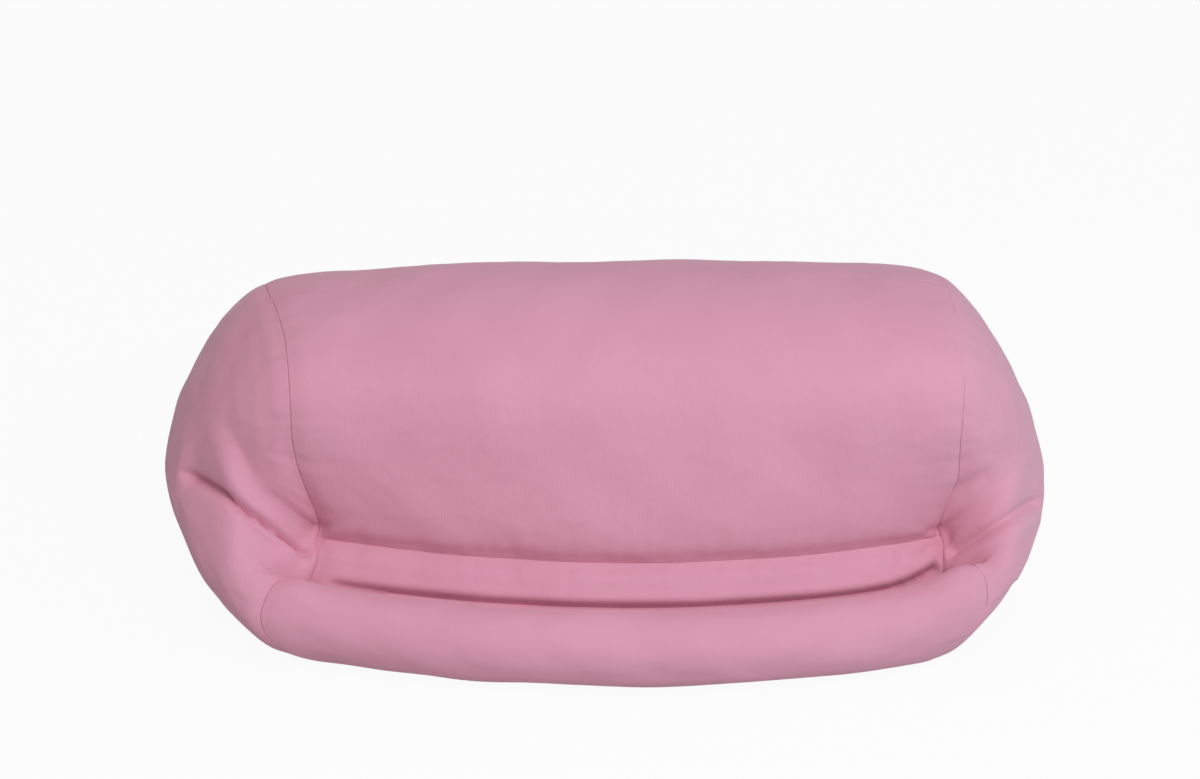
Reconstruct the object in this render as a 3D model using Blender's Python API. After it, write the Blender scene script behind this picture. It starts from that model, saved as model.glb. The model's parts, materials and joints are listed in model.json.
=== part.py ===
"""Beanbag tablet stand: a bead-filled log with a front roll that holds a tablet's lower edge.

The cover is six sewn panels over an inner bag of beads and a filled front roll, with a refill
zip across the lower back. X runs along the cushion, -Y is the front and +Z is up. The origin is
the centre of the footprint, on the surface that the cushion stands on. Lengths are in metres.

The whole cover comes from one skin: a grid of points whose columns run from tip to tip and whose
rows run once round the section, from the groove over the roll, along the base, up the back, over
the top, down the backrest and along the ledge. Panels, bag and roll filling are layers of it.
"""

import math

import bmesh
import bpy
import numpy as np
from mathutils import Vector

# Body of the cushion
SEAM_X = 0.132  # centre to an end seam, along the back and the top
TIP_X = 0.177  # centre to the tip of an end dome
TIP_Y = 0.002
TIP_Z = 0.0485
TOP_Z = 0.127
BODY_RADIUS = 0.0725
BACK_Y = 0.090
WIDEST_Z = 0.045  # height where the back bulges furthest
SAG_DEPTH = 0.052  # how deep the lower back would hang below its widest line if nothing held it
CREASE_DEG = 194.0  # where the ledge meets the backrest, round the body from its rear line
CREASE_SWEEP = 0.0215  # how far the crease runs back by the time it meets the end seam
CROWN_SHARE = 0.073  # how much the top drops towards the end seams, of the body's radius
CROWN_FROM_SHARE = 0.40  # how far up the body's side that drop begins
TUCK_SHARE = 0.060  # how much the back draws in just before the end seams
TUCK_CLEARANCE = 0.002  # from the zip's tapes to where that tuck begins
LEDGE_DEPTH = 0.0131  # from the backrest to the front roll, in the middle
LEDGE_SWELL = 0.0016  # how far the ledge bulges between its two seams
RIM_LIFT = 0.0006  # how far the base is drawn up at its rim

# Front roll
ROLL_RADIUS = 0.0147
ROLL_SWEEP = 0.029  # how far the roll's front runs back by the time it meets the end seam
GROOVE_DEG = 4.0  # where the ledge meets the roll, round the roll from its rear line

# Where the end seams lie, as shares of SEAM_X, round the section. Up the back and over the
# top they lie at SEAM_X itself.
GROOVE_SHARE = 0.940
ROLL_TOP_SHARE = 1.065
ROLL_FRONT_SHARE = 1.070
ROLL_BASE_SHARE = 0.980
BASE_FRONT_SHARE = 0.970
CREASE_SHARE = 0.938

# How an end dome closes from its seam to its tip
DOME_TURN_SHARE = 0.48
DOME_POWER = 0.68
NOTCH_FADE_SHARE = 0.55  # how far the groove's notch has filled in by the tip
DOME_RING_SHARES = (0.0, 0.2, 0.42, 0.63, 0.81, 0.94, 1.0)

# Cloth and filling
CLOTH = 0.0012
SEAM_GAP = 0.0003
LAYER_GAP = 0.0003
BOLSTER_END_GAP = 0.0007  # between the roll's filling and the bag in each dome
WEB_THICKNESS = 0.0008
ZIP_POCKET_DEPTH = 0.0052  # how far the bag lies under the cover behind the zip

# Rows of the skin in each stretch of the section
ROLL_ROWS = 12
BASE_ROWS = 4
LOW_BACK_ROWS = 4
HIGH_BACK_ROWS = 6
BACKREST_ROWS = 8
LEDGE_ROWS = 3
ZIP_COLUMNS = 10  # along the zip's slot
END_COLUMNS = 2  # between the zip's slot and each end seam

# Zip
ZIP_HALF = 0.098  # half of the slot between the two panels
ZIP_SLOT_HALF = 0.005  # half of the slot's width
ZIP_SLOT_TAPER = 0.002  # over which the slot closes at its ends
ZIP_FACE_DEG = 6.25  # half of the flat strip that carries the zip, round the body
TAPE_WIDTH = 0.0110
TAPE_THICKNESS = 0.0006
TAPE_OVERHANG = 0.003  # how far the tapes run past the slot's ends
TOOTH_PITCH = 0.0036
TOOTH_WIDTH = 0.0014
TOOTH_THICKNESS = 0.0024
TOOTH_REACH = 0.0009  # past the zip's centre line
CORD_EDGE = 0.0015  # from the centre line to the moulded cord at the tape's edge
CORD_WIDTH = 0.0012
CHAIN_STOP_GAP = 0.0010  # from the bottom stop to the first tooth
CHAIN_HOLD = 0.0020  # from the chain's last tooth to the slider's middle
STOP_LENGTH = 0.0025
STOP_CLAMP = 0.0006  # thickness of a stop's jaws
STOP_JAW = 0.0016  # how far a stop's jaws reach over a tape
TOP_STOP_GAP = 0.0010  # from the top stops to the end of the slot
BOTTOM_STOP_GAP = 0.0115  # from the bottom stop to the other end of the slot

# Slider and pull tab
SLIDER_STOP_GAP = 0.0015  # from the slider to the top stops while the zip is closed
SLIDER_LENGTH = 0.0120
SLIDER_WIDTH = 0.0086
SLIDER_TAIL_WIDTH = 0.0074
SLIDER_PLATE = 0.0010
SLIDER_FLANGE = 0.0008
RUNNING_GAP = 0.0003
POST_WIDTH = 0.0022
POST_LENGTH = 0.0030
POST_INSET = 0.0016  # from the slider's nose to its post
BAIL_SPAN = 0.0060
BAIL_WIRE = 0.0010
BAIL_WIDTH = 0.0016
BAIL_INNER_HEIGHT = 0.0023
TAB_LENGTH = 0.0190
TAB_WIDTH = 0.0052
TAB_THICKNESS = 0.0008
TAB_BAR = 0.0010
TAB_EYE_LENGTH = 0.0034
TAB_EYE_WIDTH = 0.0026
TAB_END_STEPS = 6

# Values that follow from the sizes above
BODY_Y = BACK_Y - BODY_RADIUS
BODY_Z = TOP_Z - BODY_RADIUS
HIGH_BACK = TOP_Z - WIDEST_Z
CREASE_Y = BODY_Y + BODY_RADIUS * math.cos(math.radians(CREASE_DEG))
ROLL_Y = CREASE_Y - LEDGE_DEPTH - ROLL_RADIUS * math.cos(math.radians(GROOVE_DEG))
ROLL_Z = ROLL_RADIUS + RIM_LIFT
BAG_INSET = CLOTH + LAYER_GAP
OVERRUN = 0.0005  # how far a piece that is fused or cut runs past the other
BASE_CORNER_DEG = -math.degrees(math.asin(WIDEST_Z / SAG_DEPTH))

# First and last row of each stretch
ROW_ROLL_BASE = ROLL_ROWS
ROW_WEB = ROLL_ROWS + 1
ROW_CORNER = ROW_WEB + BASE_ROWS
ROW_ZIP_LOW = ROW_CORNER + LOW_BACK_ROWS
ROW_ZIP_HIGH = ROW_ZIP_LOW + 1
ROW_TOP = ROW_ZIP_HIGH + HIGH_BACK_ROWS
ROW_CREASE = ROW_TOP + BACKREST_ROWS
ROWS = ROW_CREASE + LEDGE_ROWS

# Places along the zip: each stands a gap in from an end of the slot or from its neighbour
TAPE_HALF = ZIP_HALF + TAPE_OVERHANG
TOP_STOP_X = ZIP_HALF - TOP_STOP_GAP - STOP_LENGTH
BOTTOM_STOP_X = BOTTOM_STOP_GAP - ZIP_HALF
SLIDER_X = TOP_STOP_X - SLIDER_STOP_GAP - SLIDER_LENGTH / 2
CHAIN_START_X = BOTTOM_STOP_X + STOP_LENGTH + CHAIN_STOP_GAP
CHAIN_END_X = SLIDER_X - CHAIN_HOLD
TUCK_START_SHARE = (TAPE_HALF + TUCK_CLEARANCE) / SEAM_X

# The zip lies on the flat strip between its two rows
ZIP_Y = BODY_Y + BODY_RADIUS * math.cos(math.radians(ZIP_FACE_DEG))
ZIP_LOW_Z = WIDEST_Z - SAG_DEPTH * math.sin(math.radians(ZIP_FACE_DEG))
ZIP_HIGH_Z = WIDEST_Z + HIGH_BACK * math.sin(math.radians(ZIP_FACE_DEG))
ZIP_Z = (ZIP_LOW_Z + ZIP_HIGH_Z) / 2
TAPE_TOP = -(CLOTH + LAYER_GAP)
TAPE_MIDDLE = TAPE_TOP - TAPE_THICKNESS / 2
TAPE_UNDER = TAPE_TOP - TAPE_THICKNESS
CHAIN_TOP = TAPE_MIDDLE + TOOTH_THICKNESS / 2
CHAIN_UNDER = TAPE_MIDDLE - TOOTH_THICKNESS / 2
PLATE_TOP = CHAIN_TOP + RUNNING_GAP + SLIDER_PLATE
PLATE_UNDER = CHAIN_UNDER - RUNNING_GAP - SLIDER_PLATE
HINGE_OUT = PLATE_TOP + BAIL_INNER_HEIGHT / 2


def clear_scene():
    """Remove every object that the file opened with."""
    for thing in list(bpy.data.objects):
        bpy.data.objects.remove(thing, do_unlink=True)


def material(name, color, roughness, metallic=0.0):
    """A plain Principled material."""
    made = bpy.data.materials.new(name)
    made.use_nodes = True
    shader = made.node_tree.nodes["Principled BSDF"]
    shader.inputs["Base Color"].default_value = (*color, 1.0)
    shader.inputs["Roughness"].default_value = roughness
    shader.inputs["Metallic"].default_value = metallic
    return made


def link(name, mesh, dressed):
    """Put a mesh into the scene as one named sub-part."""
    mesh.materials.clear()
    mesh.materials.append(dressed)
    thing = bpy.data.objects.new(name, mesh)
    bpy.context.scene.collection.objects.link(thing)
    mesh.shade_smooth()
    mesh.set_sharp_from_angle(angle=math.radians(35.0))
    return thing


def smooth_step(value):
    """0 below 0, 1 above 1, and an S-curve between."""
    held = np.clip(value, 0.0, 1.0)
    return held * held * (3.0 - 2.0 * held)


def seam_lengths():
    """Half-length of the tube part along every row, between the two end seams."""
    stops = {
        0: GROOVE_SHARE,
        ROLL_ROWS // 4: ROLL_TOP_SHARE,
        ROLL_ROWS * 2 // 3: ROLL_FRONT_SHARE,
        ROW_ROLL_BASE: ROLL_BASE_SHARE,
        ROW_WEB: BASE_FRONT_SHARE,
        ROW_CORNER: 1.0,
        ROW_CREASE - 3: 1.0,
        ROW_CREASE: CREASE_SHARE,
        ROWS: GROOVE_SHARE,
    }
    return SEAM_X * np.interp(np.arange(ROWS), list(stops), list(stops.values()))


def column_shares():
    """Places of the tube's columns, from -1 at one end seam to 1 at the other."""
    slot_end = ZIP_HALF / SEAM_X
    taper_end = (ZIP_HALF + ZIP_SLOT_TAPER) / SEAM_X
    middle = np.linspace(-slot_end, slot_end, ZIP_COLUMNS + 1)
    end = np.linspace(taper_end, 1.0, END_COLUMNS + 1)
    return np.concatenate([-end[::-1], middle, end])


def sweep(x, depth, share):
    """How far a line that curves back towards the ends has moved at x.

    share says where the line meets the end seam.
    """
    return depth * (x / (SEAM_X * share)) ** 2


def groove_y(x):
    """The groove's seam: it follows the back of the roll."""
    rear = ROLL_RADIUS * math.cos(math.radians(GROOVE_DEG))
    return ROLL_Y + sweep(x, ROLL_SWEEP, ROLL_FRONT_SHARE) + rear


def groove_z():
    """Height of the groove's seam."""
    return ROLL_Z + ROLL_RADIUS * math.sin(math.radians(GROOVE_DEG))


def body_point(x, degrees):
    """A point of the body's section: two quarter ellipses at the back and an arc in front."""
    angle = np.radians(degrees)
    along = np.abs(x) / SEAM_X
    rising = np.clip((np.sin(angle) - CROWN_FROM_SHARE) / (1.0 - CROWN_FROM_SHARE), 0.0, 1.0)
    tuck = np.clip((along - TUCK_START_SHARE) / (1.0 - TUCK_START_SHARE), 0.0, None) ** 2
    behind = (degrees < 90.0) * (1.0 - rising)
    shrink = 1.0 - CROWN_SHARE * rising * along**3 - TUCK_SHARE * behind * tuck
    depth = np.where(degrees < 0.0, SAG_DEPTH, np.where(degrees < 90.0, HIGH_BACK, BODY_RADIUS))
    middle_z = np.where(degrees < 90.0, WIDEST_Z, BODY_Z)
    lift = np.where(degrees < 0.0, 1.0, shrink)
    forward = smooth_step((degrees - 120.0) / (CREASE_DEG - 120.0))
    y = BODY_Y + BODY_RADIUS * np.cos(angle) * shrink
    y = y + forward * sweep(x, CREASE_SWEEP, CREASE_SHARE)
    z = middle_z + depth * np.sin(angle) * lift
    return y, z


def section(x):
    """The y and z of every row, for x given as columns by rows."""
    y = np.zeros_like(x)
    z = np.zeros_like(x)
    roll = slice(0, ROW_ROLL_BASE + 1)
    turn = np.radians(np.linspace(GROOVE_DEG, 270.0, ROLL_ROWS + 1))
    y[:, roll] = ROLL_Y + sweep(x[:, roll], ROLL_SWEEP, ROLL_FRONT_SHARE) + ROLL_RADIUS * np.cos(turn)
    z[:, roll] = ROLL_Z + ROLL_RADIUS * np.sin(turn)
    base = slice(ROW_WEB, ROW_CORNER + 1)
    share = np.linspace(0.0, 1.0, BASE_ROWS + 1)
    rim = RIM_LIFT * (np.abs(x[:, base]) / SEAM_X) ** 8
    front = groove_y(x[:, base])
    corner_y, _ = body_point(x[:, base], np.full_like(x[:, base], BASE_CORNER_DEG))
    y[:, base] = front + (corner_y - front) * share
    z[:, base] = np.where(share > 0.0, np.minimum(rim, RIM_LIFT), RIM_LIFT)
    low = np.linspace(BASE_CORNER_DEG, -ZIP_FACE_DEG, LOW_BACK_ROWS + 1)[1:]
    high = np.linspace(ZIP_FACE_DEG, 90.0, HIGH_BACK_ROWS + 1)
    rest = np.linspace(90.0, CREASE_DEG, BACKREST_ROWS + 1)[1:]
    body = slice(ROW_CORNER + 1, ROW_CREASE + 1)
    degrees = np.broadcast_to(np.concatenate([low, high, rest]), x[:, body].shape)
    y[:, body], z[:, body] = body_point(x[:, body], degrees)
    ledge = slice(ROW_CREASE + 1, ROWS)
    share = np.linspace(0.0, 1.0, LEDGE_ROWS + 1)[1:-1]
    crease_y, crease_z = body_point(x[:, ledge], np.full_like(x[:, ledge], CREASE_DEG))
    swell = LEDGE_SWELL * np.sin(np.pi * share)
    y[:, ledge] = crease_y + (groove_y(x[:, ledge]) - crease_y) * share - swell
    z[:, ledge] = crease_z + (groove_z() - crease_z) * share + swell
    return y, z


def skin_points():
    """The cover's outer surface: tip, dome rings, tube columns, dome rings, tip."""
    x = column_shares()[:, None] * seam_lengths()[None, :]
    y, z = section(x)
    tube = np.stack([x, y, z], axis=2)
    left = [dome_ring(tube[0], -1.0, share) for share in DOME_RING_SHARES[:0:-1]]
    right = [dome_ring(tube[-1], 1.0, share) for share in DOME_RING_SHARES[1:]]
    return np.concatenate([np.array(left), tube, np.array(right)])


def dome_ring(seam, side, share):
    """One ring of an end dome, drawn from its seam towards the tip as the notch fills in."""
    first = ROW_CREASE - 2
    last = ROWS + ROLL_ROWS // 4
    rows = np.arange(first, last + 1) % ROWS
    along = np.linspace(0.0, 1.0, len(rows))[:, None]
    chord = seam[rows[0]] + (seam[rows[-1]] - seam[rows[0]]) * along
    ring = seam.copy()
    ring[rows] = seam[rows] + (chord - seam[rows]) * NOTCH_FADE_SHARE * share
    closing = 1.0 - DOME_TURN_SHARE * share - (1.0 - DOME_TURN_SHARE) * share**2
    narrow = max(closing, 0.0) ** DOME_POWER
    tip = np.array([side * TIP_X, TIP_Y, TIP_Z])
    made = tip + (ring - tip) * narrow
    made[:, 0] = ring[:, 0] + (tip[0] - ring[:, 0]) * share
    return made


def outward(points):
    """Unit normals at the skin's points: each is the sum of those of the faces round it."""
    following = np.roll(points, -1, axis=1)
    one = following[1:] - points[:-1]
    other = points[1:] - following[:-1]
    face = np.cross(one, other)
    face /= np.linalg.norm(face, axis=2, keepdims=True)
    total = np.zeros_like(points)
    for columns in (slice(0, -1), slice(1, None)):
        total[columns] += face + np.roll(face, 1, axis=1)
    total[0] = (-1.0, 0.0, 0.0)
    total[-1] = (1.0, 0.0, 0.0)
    return total / np.linalg.norm(total, axis=2, keepdims=True)


def grid_faces(columns, rows, start, wrap, flip):
    """Two triangles for each cell of a grid whose vertices start at the given number."""
    across = np.arange(columns - 1)[:, None]
    down = np.arange(rows if wrap else rows - 1)[None, :]
    here = start + across * rows + down
    beside = start + across * rows + (down + 1) % rows
    corners = [here, beside, beside + rows, here + rows]
    if flip:
        corners = corners[::-1]
    a, b, c, d = [corner.ravel() for corner in corners]
    if flip:
        return [*zip(b, c, d), *zip(b, d, a)]
    return [*zip(a, b, c), *zip(a, c, d)]


def wall_faces(outer, inner):
    """Two triangles for each step between two lines of vertex numbers."""
    made = [(a, b, c) for a, b, c in zip(outer[:-1], inner[:-1], inner[1:])]
    return made + [(a, c, d) for a, c, d in zip(outer[:-1], inner[1:], outer[1:])]


def closed_mesh(name, points, faces):
    """A mesh of these triangles with its doubles merged and its faces pointing out."""
    mesh = bpy.data.meshes.new(name)
    mesh.from_pydata([tuple(point) for point in points], [], [tuple(map(int, f)) for f in faces])
    shape = bmesh.new()
    shape.from_mesh(mesh)
    bmesh.ops.remove_doubles(shape, verts=shape.verts, dist=OVERRUN / 100)
    bmesh.ops.recalc_face_normals(shape, faces=shape.faces)
    shape.to_mesh(mesh)
    shape.free()
    return mesh


def shell(name, outer, inner, dressed, wrap=False):
    """A sheet of cloth between two grids. A wrapped one closes round its rows."""
    columns, rows = outer.shape[:2]
    count = columns * rows
    points = np.concatenate([outer.reshape(-1, 3), inner.reshape(-1, 3)])
    faces = grid_faces(columns, rows, 0, wrap, False)
    faces += grid_faces(columns, rows, count, wrap, True)
    numbers = np.arange(count).reshape(columns, rows)
    for edge in (numbers[0], numbers[-1]):
        loop = np.append(edge, edge[0]) if wrap else edge
        faces += wall_faces(loop, loop + count)
    if not wrap:
        for edge in (numbers[:, 0], numbers[:, -1]):
            faces += wall_faces(edge, edge + count)
    return link(name, closed_mesh(name, points, faces), dressed)


def trimmed(edge, beside, normal):
    """An edge drawn in from its seam by half of the gap, clear of the next panel."""
    inward = beside - edge
    inward /= np.linalg.norm(inward, axis=-1, keepdims=True)
    square = inward - normal * np.sum(inward * normal, axis=-1, keepdims=True)
    reach = np.linalg.norm(square, axis=-1, keepdims=True)
    return edge + inward * SEAM_GAP / 2 / reach


def panel(name, skin, columns, rows, dressed, slot=None):
    """A cover panel: a patch of the skin with the cloth's thickness, trimmed along its seams.

    slot says which of the patch's long edges carries the zip: "first" or "last".
    """
    points, normals = skin
    taken = slice(columns[0], columns[1] + 1)
    picked = np.arange(rows[0], rows[1] + 1) % ROWS
    spots, normal = points[taken][:, picked], normals[taken][:, picked]
    if slot:
        edge, edge_normal = slot_edge(points[taken], normals[taken], 1.0 if slot == "first" else -1.0)
        order = 1 if slot == "first" else -1
        spots = np.concatenate([edge, spots][::order], 1)
        normal = np.concatenate([edge_normal, normal][::order], 1)
    layers = []
    for depth in (0.0, CLOTH):
        patch = spots - depth * normal
        whole = patch.copy()
        if slot != "first":
            patch[:, 0] = trimmed(whole[:, 0], whole[:, 1], normal[:, 0])
        if slot != "last":
            patch[:, -1] = trimmed(whole[:, -1], whole[:, -2], normal[:, -1])
        whole = patch.copy()
        patch[0] = trimmed(whole[0], whole[1], normal[0])
        patch[-1] = trimmed(whole[-1], whole[-2], normal[-1])
        layers.append(patch)
    return shell(name, layers[0], layers[1], dressed)


def slot_edge(points, normals, side):
    """The row where a panel ends at the zip: at its line, and set back from it along the slot."""
    near = ROW_ZIP_HIGH if side > 0 else ROW_ZIP_LOW
    line = (points[:, ROW_ZIP_LOW] + points[:, ROW_ZIP_HIGH]) / 2
    open_here = np.abs(line[:, 0]) < ZIP_HALF + ZIP_SLOT_TAPER / 2
    set_back = np.where(open_here, ZIP_SLOT_HALF, SEAM_GAP / 2)
    share = set_back / ((ZIP_HIGH_Z - ZIP_LOW_Z) / 2)
    edge = line + (points[:, near] - line) * share[:, None]
    normal = normals[:, ROW_ZIP_LOW] + normals[:, ROW_ZIP_HIGH]
    normal /= np.linalg.norm(normal, axis=-1, keepdims=True)
    return edge[:, None], normal[:, None]


def end_panel(name, skin, side, dressed):
    """The domed panel that closes one end, from its seam to its tip."""
    points, normals = skin
    rings = len(DOME_RING_SHARES) - 1
    picked = slice(0, rings + 1) if side < 0 else slice(-rings - 1, None)
    seam, beside = (-1, -2) if side < 0 else (0, 1)
    faces = []
    for depth in (0.0, CLOTH):
        patch = points[picked] - depth * normals[picked]
        patch[seam] = trimmed(patch[seam], patch[beside], normals[picked][seam])
        faces.append(patch)
    return shell(name, faces[0], faces[1], dressed, wrap=True)


def web_line(ends, offset, share):
    """Points down the baffle web's plane, given x at the groove's seam and at the base's."""
    x = ends[:, :1] + (ends[:, 1:] - ends[:, :1]) * share
    top = groove_z() - BAG_INSET - CLOTH
    bottom = BAG_INSET + RIM_LIFT
    z = np.broadcast_to(top + (bottom - top) * share, x.shape)
    return np.stack([x, groove_y(x) + offset, z], axis=-1)


def bead_bag(skin, dressed):
    """The inner bag of beads: it fills the body between the web and the back, and both domes."""
    points, normals = skin
    depth = np.full(points.shape[:2], BAG_INSET)
    behind = np.abs(points[:, ROW_ZIP_LOW, 0]) < ZIP_HALF + ZIP_SLOT_TAPER * 1.5
    for row in (ROW_ZIP_LOW, ROW_ZIP_HIGH):
        depth[behind, row] = ZIP_POCKET_DEPTH
    bag = points - depth[..., None] * normals
    rings = len(DOME_RING_SHARES) - 1
    rows = np.arange(ROW_WEB + 1)
    tube = bag[rings : len(bag) - rings].copy()
    offset = WEB_THICKNESS / 2 + LAYER_GAP
    ends = points[rings : len(bag) - rings][:, [0, ROW_WEB], 0]
    tube[:, rows] = web_line(ends, offset, rows / ROW_WEB)
    grid = np.concatenate([bag[: rings + 1], tube, bag[-rings - 1 :]])
    columns = len(grid)
    faces = grid_faces(columns, ROWS, 0, True, False)
    mesh = closed_mesh("bead_bag", grid.reshape(-1, 3), faces)
    return link("bead_bag", mesh, dressed)


def roll_bolster(skin, dressed):
    """The filled roll: the skin's roll, closed behind along the baffle web."""
    points, normals = skin
    rings = len(DOME_RING_SHARES) - 1
    rows = np.arange(ROW_WEB + 1)
    picked = slice(rings, len(points) - rings)
    front = (points - BAG_INSET * normals)[picked][:, rows]
    for end, side in ((0, 1.0), (-1, -1.0)):
        front[end, :, 0] += side * BOLSTER_END_GAP
    offset = -(WEB_THICKNESS / 2 + LAYER_GAP)
    rear = web_line(front[:, [0, -1], 0], offset, rows / ROW_WEB)
    front[:, 0] = rear[:, 0]
    front[:, -1] = rear[:, -1]
    count = front.shape[0] * front.shape[1]
    grid = np.concatenate([front.reshape(-1, 3), rear.reshape(-1, 3)])
    faces = grid_faces(*front.shape[:2], 0, False, False)
    faces += grid_faces(*front.shape[:2], count, False, True)
    numbers = np.arange(count).reshape(front.shape[:2])
    faces += wall_faces(numbers[0], numbers[0] + count)
    faces += wall_faces(numbers[-1] + count, numbers[-1])
    return link("roll_bolster", closed_mesh("roll_bolster", grid, faces), dressed)


def baffle_web(skin, dressed):
    """The web of cloth between the roll and the body, sewn in at the groove and the base."""
    points, _ = skin
    rings = len(DOME_RING_SHARES) - 1
    ends = points[rings : len(points) - rings][:, [0, ROW_WEB], 0].copy()
    ends[0] += BAG_INSET
    ends[-1] -= BAG_INSET
    faces = []
    for offset in (-WEB_THICKNESS / 2, WEB_THICKNESS / 2):
        sheet = web_line(ends, offset, np.array([0.0, 1.0]))
        sheet[:, 0, 2] = groove_z() - CLOTH - LAYER_GAP
        faces.append(sheet)
    return shell("baffle_web", faces[0], faces[1], dressed)


def prism(outline, along):
    """A closed bmesh: an outline of points carried along a vector."""
    shape = bmesh.new()
    face = shape.faces.new([shape.verts.new(point) for point in outline])
    carried = bmesh.ops.extrude_face_region(shape, geom=[face])
    moved = [item for item in carried["geom"] if isinstance(item, bmesh.types.BMVert)]
    bmesh.ops.translate(shape, vec=along, verts=moved)
    bmesh.ops.recalc_face_normals(shape, faces=shape.faces)
    return shape


def block(low, high):
    """A closed bmesh box between two corners."""
    outline = [(low[0], low[1], low[2]), (high[0], low[1], low[2])]
    outline += [(high[0], low[1], high[2]), (low[0], low[1], high[2])]
    return prism(outline, (0.0, high[1] - low[1], 0.0))


def combined(name, shapes, operation, dressed, place=(0.0, 0.0, 0.0)):
    """One solid from several: each shape after the first is joined to it or cut from it."""
    things = []
    for number, shape in enumerate(shapes):
        mesh = bpy.data.meshes.new(name)
        shape.to_mesh(mesh)
        shape.free()
        things.append(link(name if number == 0 else f"{name}_tool_{number}", mesh, dressed))
    first, *tools = things
    for tool in tools:
        cut = first.modifiers.new(tool.name, "BOOLEAN")
        cut.operation = operation
        cut.object = tool
    bpy.context.view_layer.update()
    seen = first.evaluated_get(bpy.context.evaluated_depsgraph_get())
    solid = bpy.data.meshes.new_from_object(seen)
    for thing in things:
        bpy.data.objects.remove(thing, do_unlink=True)
    made = link(name, solid, dressed)
    made.location = place
    return made


def zip_tape(name, side, dressed):
    """One tape with its moulded cord and teeth. side is 1 above the zip's line, -1 below."""
    edge = side * (CORD_EDGE + CORD_WIDTH / 4)
    bend = (ZIP_HIGH_Z - ZIP_Z) if side > 0 else (ZIP_Z - ZIP_LOW_Z)
    far_y, far_z = body_point(np.zeros(1), np.array([side * tape_lean()]))
    lean = Vector((0.0, float(far_y[0]) - ZIP_Y, float(far_z[0]) - (ZIP_Z + side * bend)))
    lean.normalize()
    past = lean * (CORD_EDGE + TAPE_WIDTH - bend)
    profile = [(ZIP_Y + TAPE_UNDER, ZIP_Z + edge), (ZIP_Y + TAPE_TOP, ZIP_Z + edge)]
    for depth in (TAPE_TOP, TAPE_UNDER):
        profile.append((ZIP_Y + depth, ZIP_Z + side * bend))
    top_bend, under_bend = profile[2], profile[3]
    profile[3:3] = [(top_bend[0] + past.y, top_bend[1] + past.z)]
    profile[4:4] = [(under_bend[0] + past.y, under_bend[1] + past.z)]
    outline = [(-TAPE_HALF, y, z) for y, z in profile]
    strip = prism(outline, (2 * TAPE_HALF, 0.0, 0.0))
    return combined(name, [strip, tooth_chain(side)], "UNION", dressed)


def tape_lean():
    """The angle round the body of the next row past the zip's flat strip."""
    return ZIP_FACE_DEG + (90.0 - ZIP_FACE_DEG) / HIGH_BACK_ROWS


def tooth_chain(side):
    """The moulded cord along a tape's edge with its teeth, which pass between the other's."""
    outer = ZIP_Z + side * (CORD_EDGE + CORD_WIDTH)
    inner = ZIP_Z + side * CORD_EDGE
    tip = ZIP_Z - side * TOOTH_REACH
    first = CHAIN_START_X + (0.0 if side > 0 else TOOTH_PITCH / 2) + TOOTH_WIDTH
    count = int((CHAIN_END_X - first - TOOTH_WIDTH) / TOOTH_PITCH) + 1
    line = [(CHAIN_START_X, outer), (CHAIN_START_X, inner)]
    for number in range(count):
        x = first + number * TOOTH_PITCH
        line += [(x, inner), (x, tip), (x + TOOTH_WIDTH, tip), (x + TOOTH_WIDTH, inner)]
    line += [(CHAIN_END_X, inner), (CHAIN_END_X, outer)]
    outline = [(x, ZIP_Y + CHAIN_UNDER, z) for x, z in line]
    return prism(outline, (0.0, TOOTH_THICKNESS, 0.0))


def top_stop(name, side, dressed):
    """A stop clamped over one tape's edge, just past the closed slider."""
    seat = CORD_EDGE + CORD_WIDTH / 4 - LAYER_GAP
    back = seat - STOP_CLAMP
    reach = seat + STOP_JAW
    profile = [
        (back, TAPE_TOP + LAYER_GAP + STOP_CLAMP),
        (reach, TAPE_TOP + LAYER_GAP + STOP_CLAMP),
        (reach, TAPE_TOP + LAYER_GAP),
        (seat, TAPE_TOP + LAYER_GAP),
        (seat, TAPE_UNDER - LAYER_GAP),
        (reach, TAPE_UNDER - LAYER_GAP),
        (reach, TAPE_UNDER - LAYER_GAP - STOP_CLAMP),
        (back, TAPE_UNDER - LAYER_GAP - STOP_CLAMP),
    ]
    outline = [(TOP_STOP_X, ZIP_Y + out, ZIP_Z + side * up) for up, out in profile]
    mesh = bpy.data.meshes.new(name)
    shape = prism(outline, (STOP_LENGTH, 0.0, 0.0))
    shape.to_mesh(mesh)
    shape.free()
    return link(name, mesh, dressed)


def bottom_stop(dressed):
    """The stop at the open end: it joins both tapes, so its section is an I."""
    seat = CORD_EDGE + CORD_WIDTH / 4 - LAYER_GAP
    reach = seat + STOP_JAW
    upper = TAPE_TOP + LAYER_GAP
    lower = TAPE_UNDER - LAYER_GAP
    half = [(reach, upper + STOP_CLAMP), (reach, upper), (seat, upper)]
    half += [(seat, lower), (reach, lower), (reach, lower - STOP_CLAMP)]
    profile = half + [(-up, out) for up, out in reversed(half)]
    outline = [(BOTTOM_STOP_X, ZIP_Y + out, ZIP_Z + up) for up, out in profile]
    mesh = bpy.data.meshes.new("zip_bottom_stop")
    shape = prism(outline, (STOP_LENGTH, 0.0, 0.0))
    shape.to_mesh(mesh)
    shape.free()
    return link("zip_bottom_stop", mesh, dressed)


def slider_plate(out, thickness):
    """One of the slider's two plates: wide at the nose, narrower at the tail."""
    half = SLIDER_LENGTH / 2
    nose = SLIDER_WIDTH / 2
    tail = SLIDER_TAIL_WIDTH / 2
    chamfer = SLIDER_PLATE
    line = [(-half, -tail + chamfer), (-half + chamfer, -tail), (0.0, -tail), (chamfer, -nose)]
    line += [(half - chamfer, -nose), (half, -nose + chamfer)]
    line += [(x, -z) for x, z in reversed(line)]
    return prism([(x, out, z) for x, z in line], (0.0, thickness, 0.0))


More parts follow.
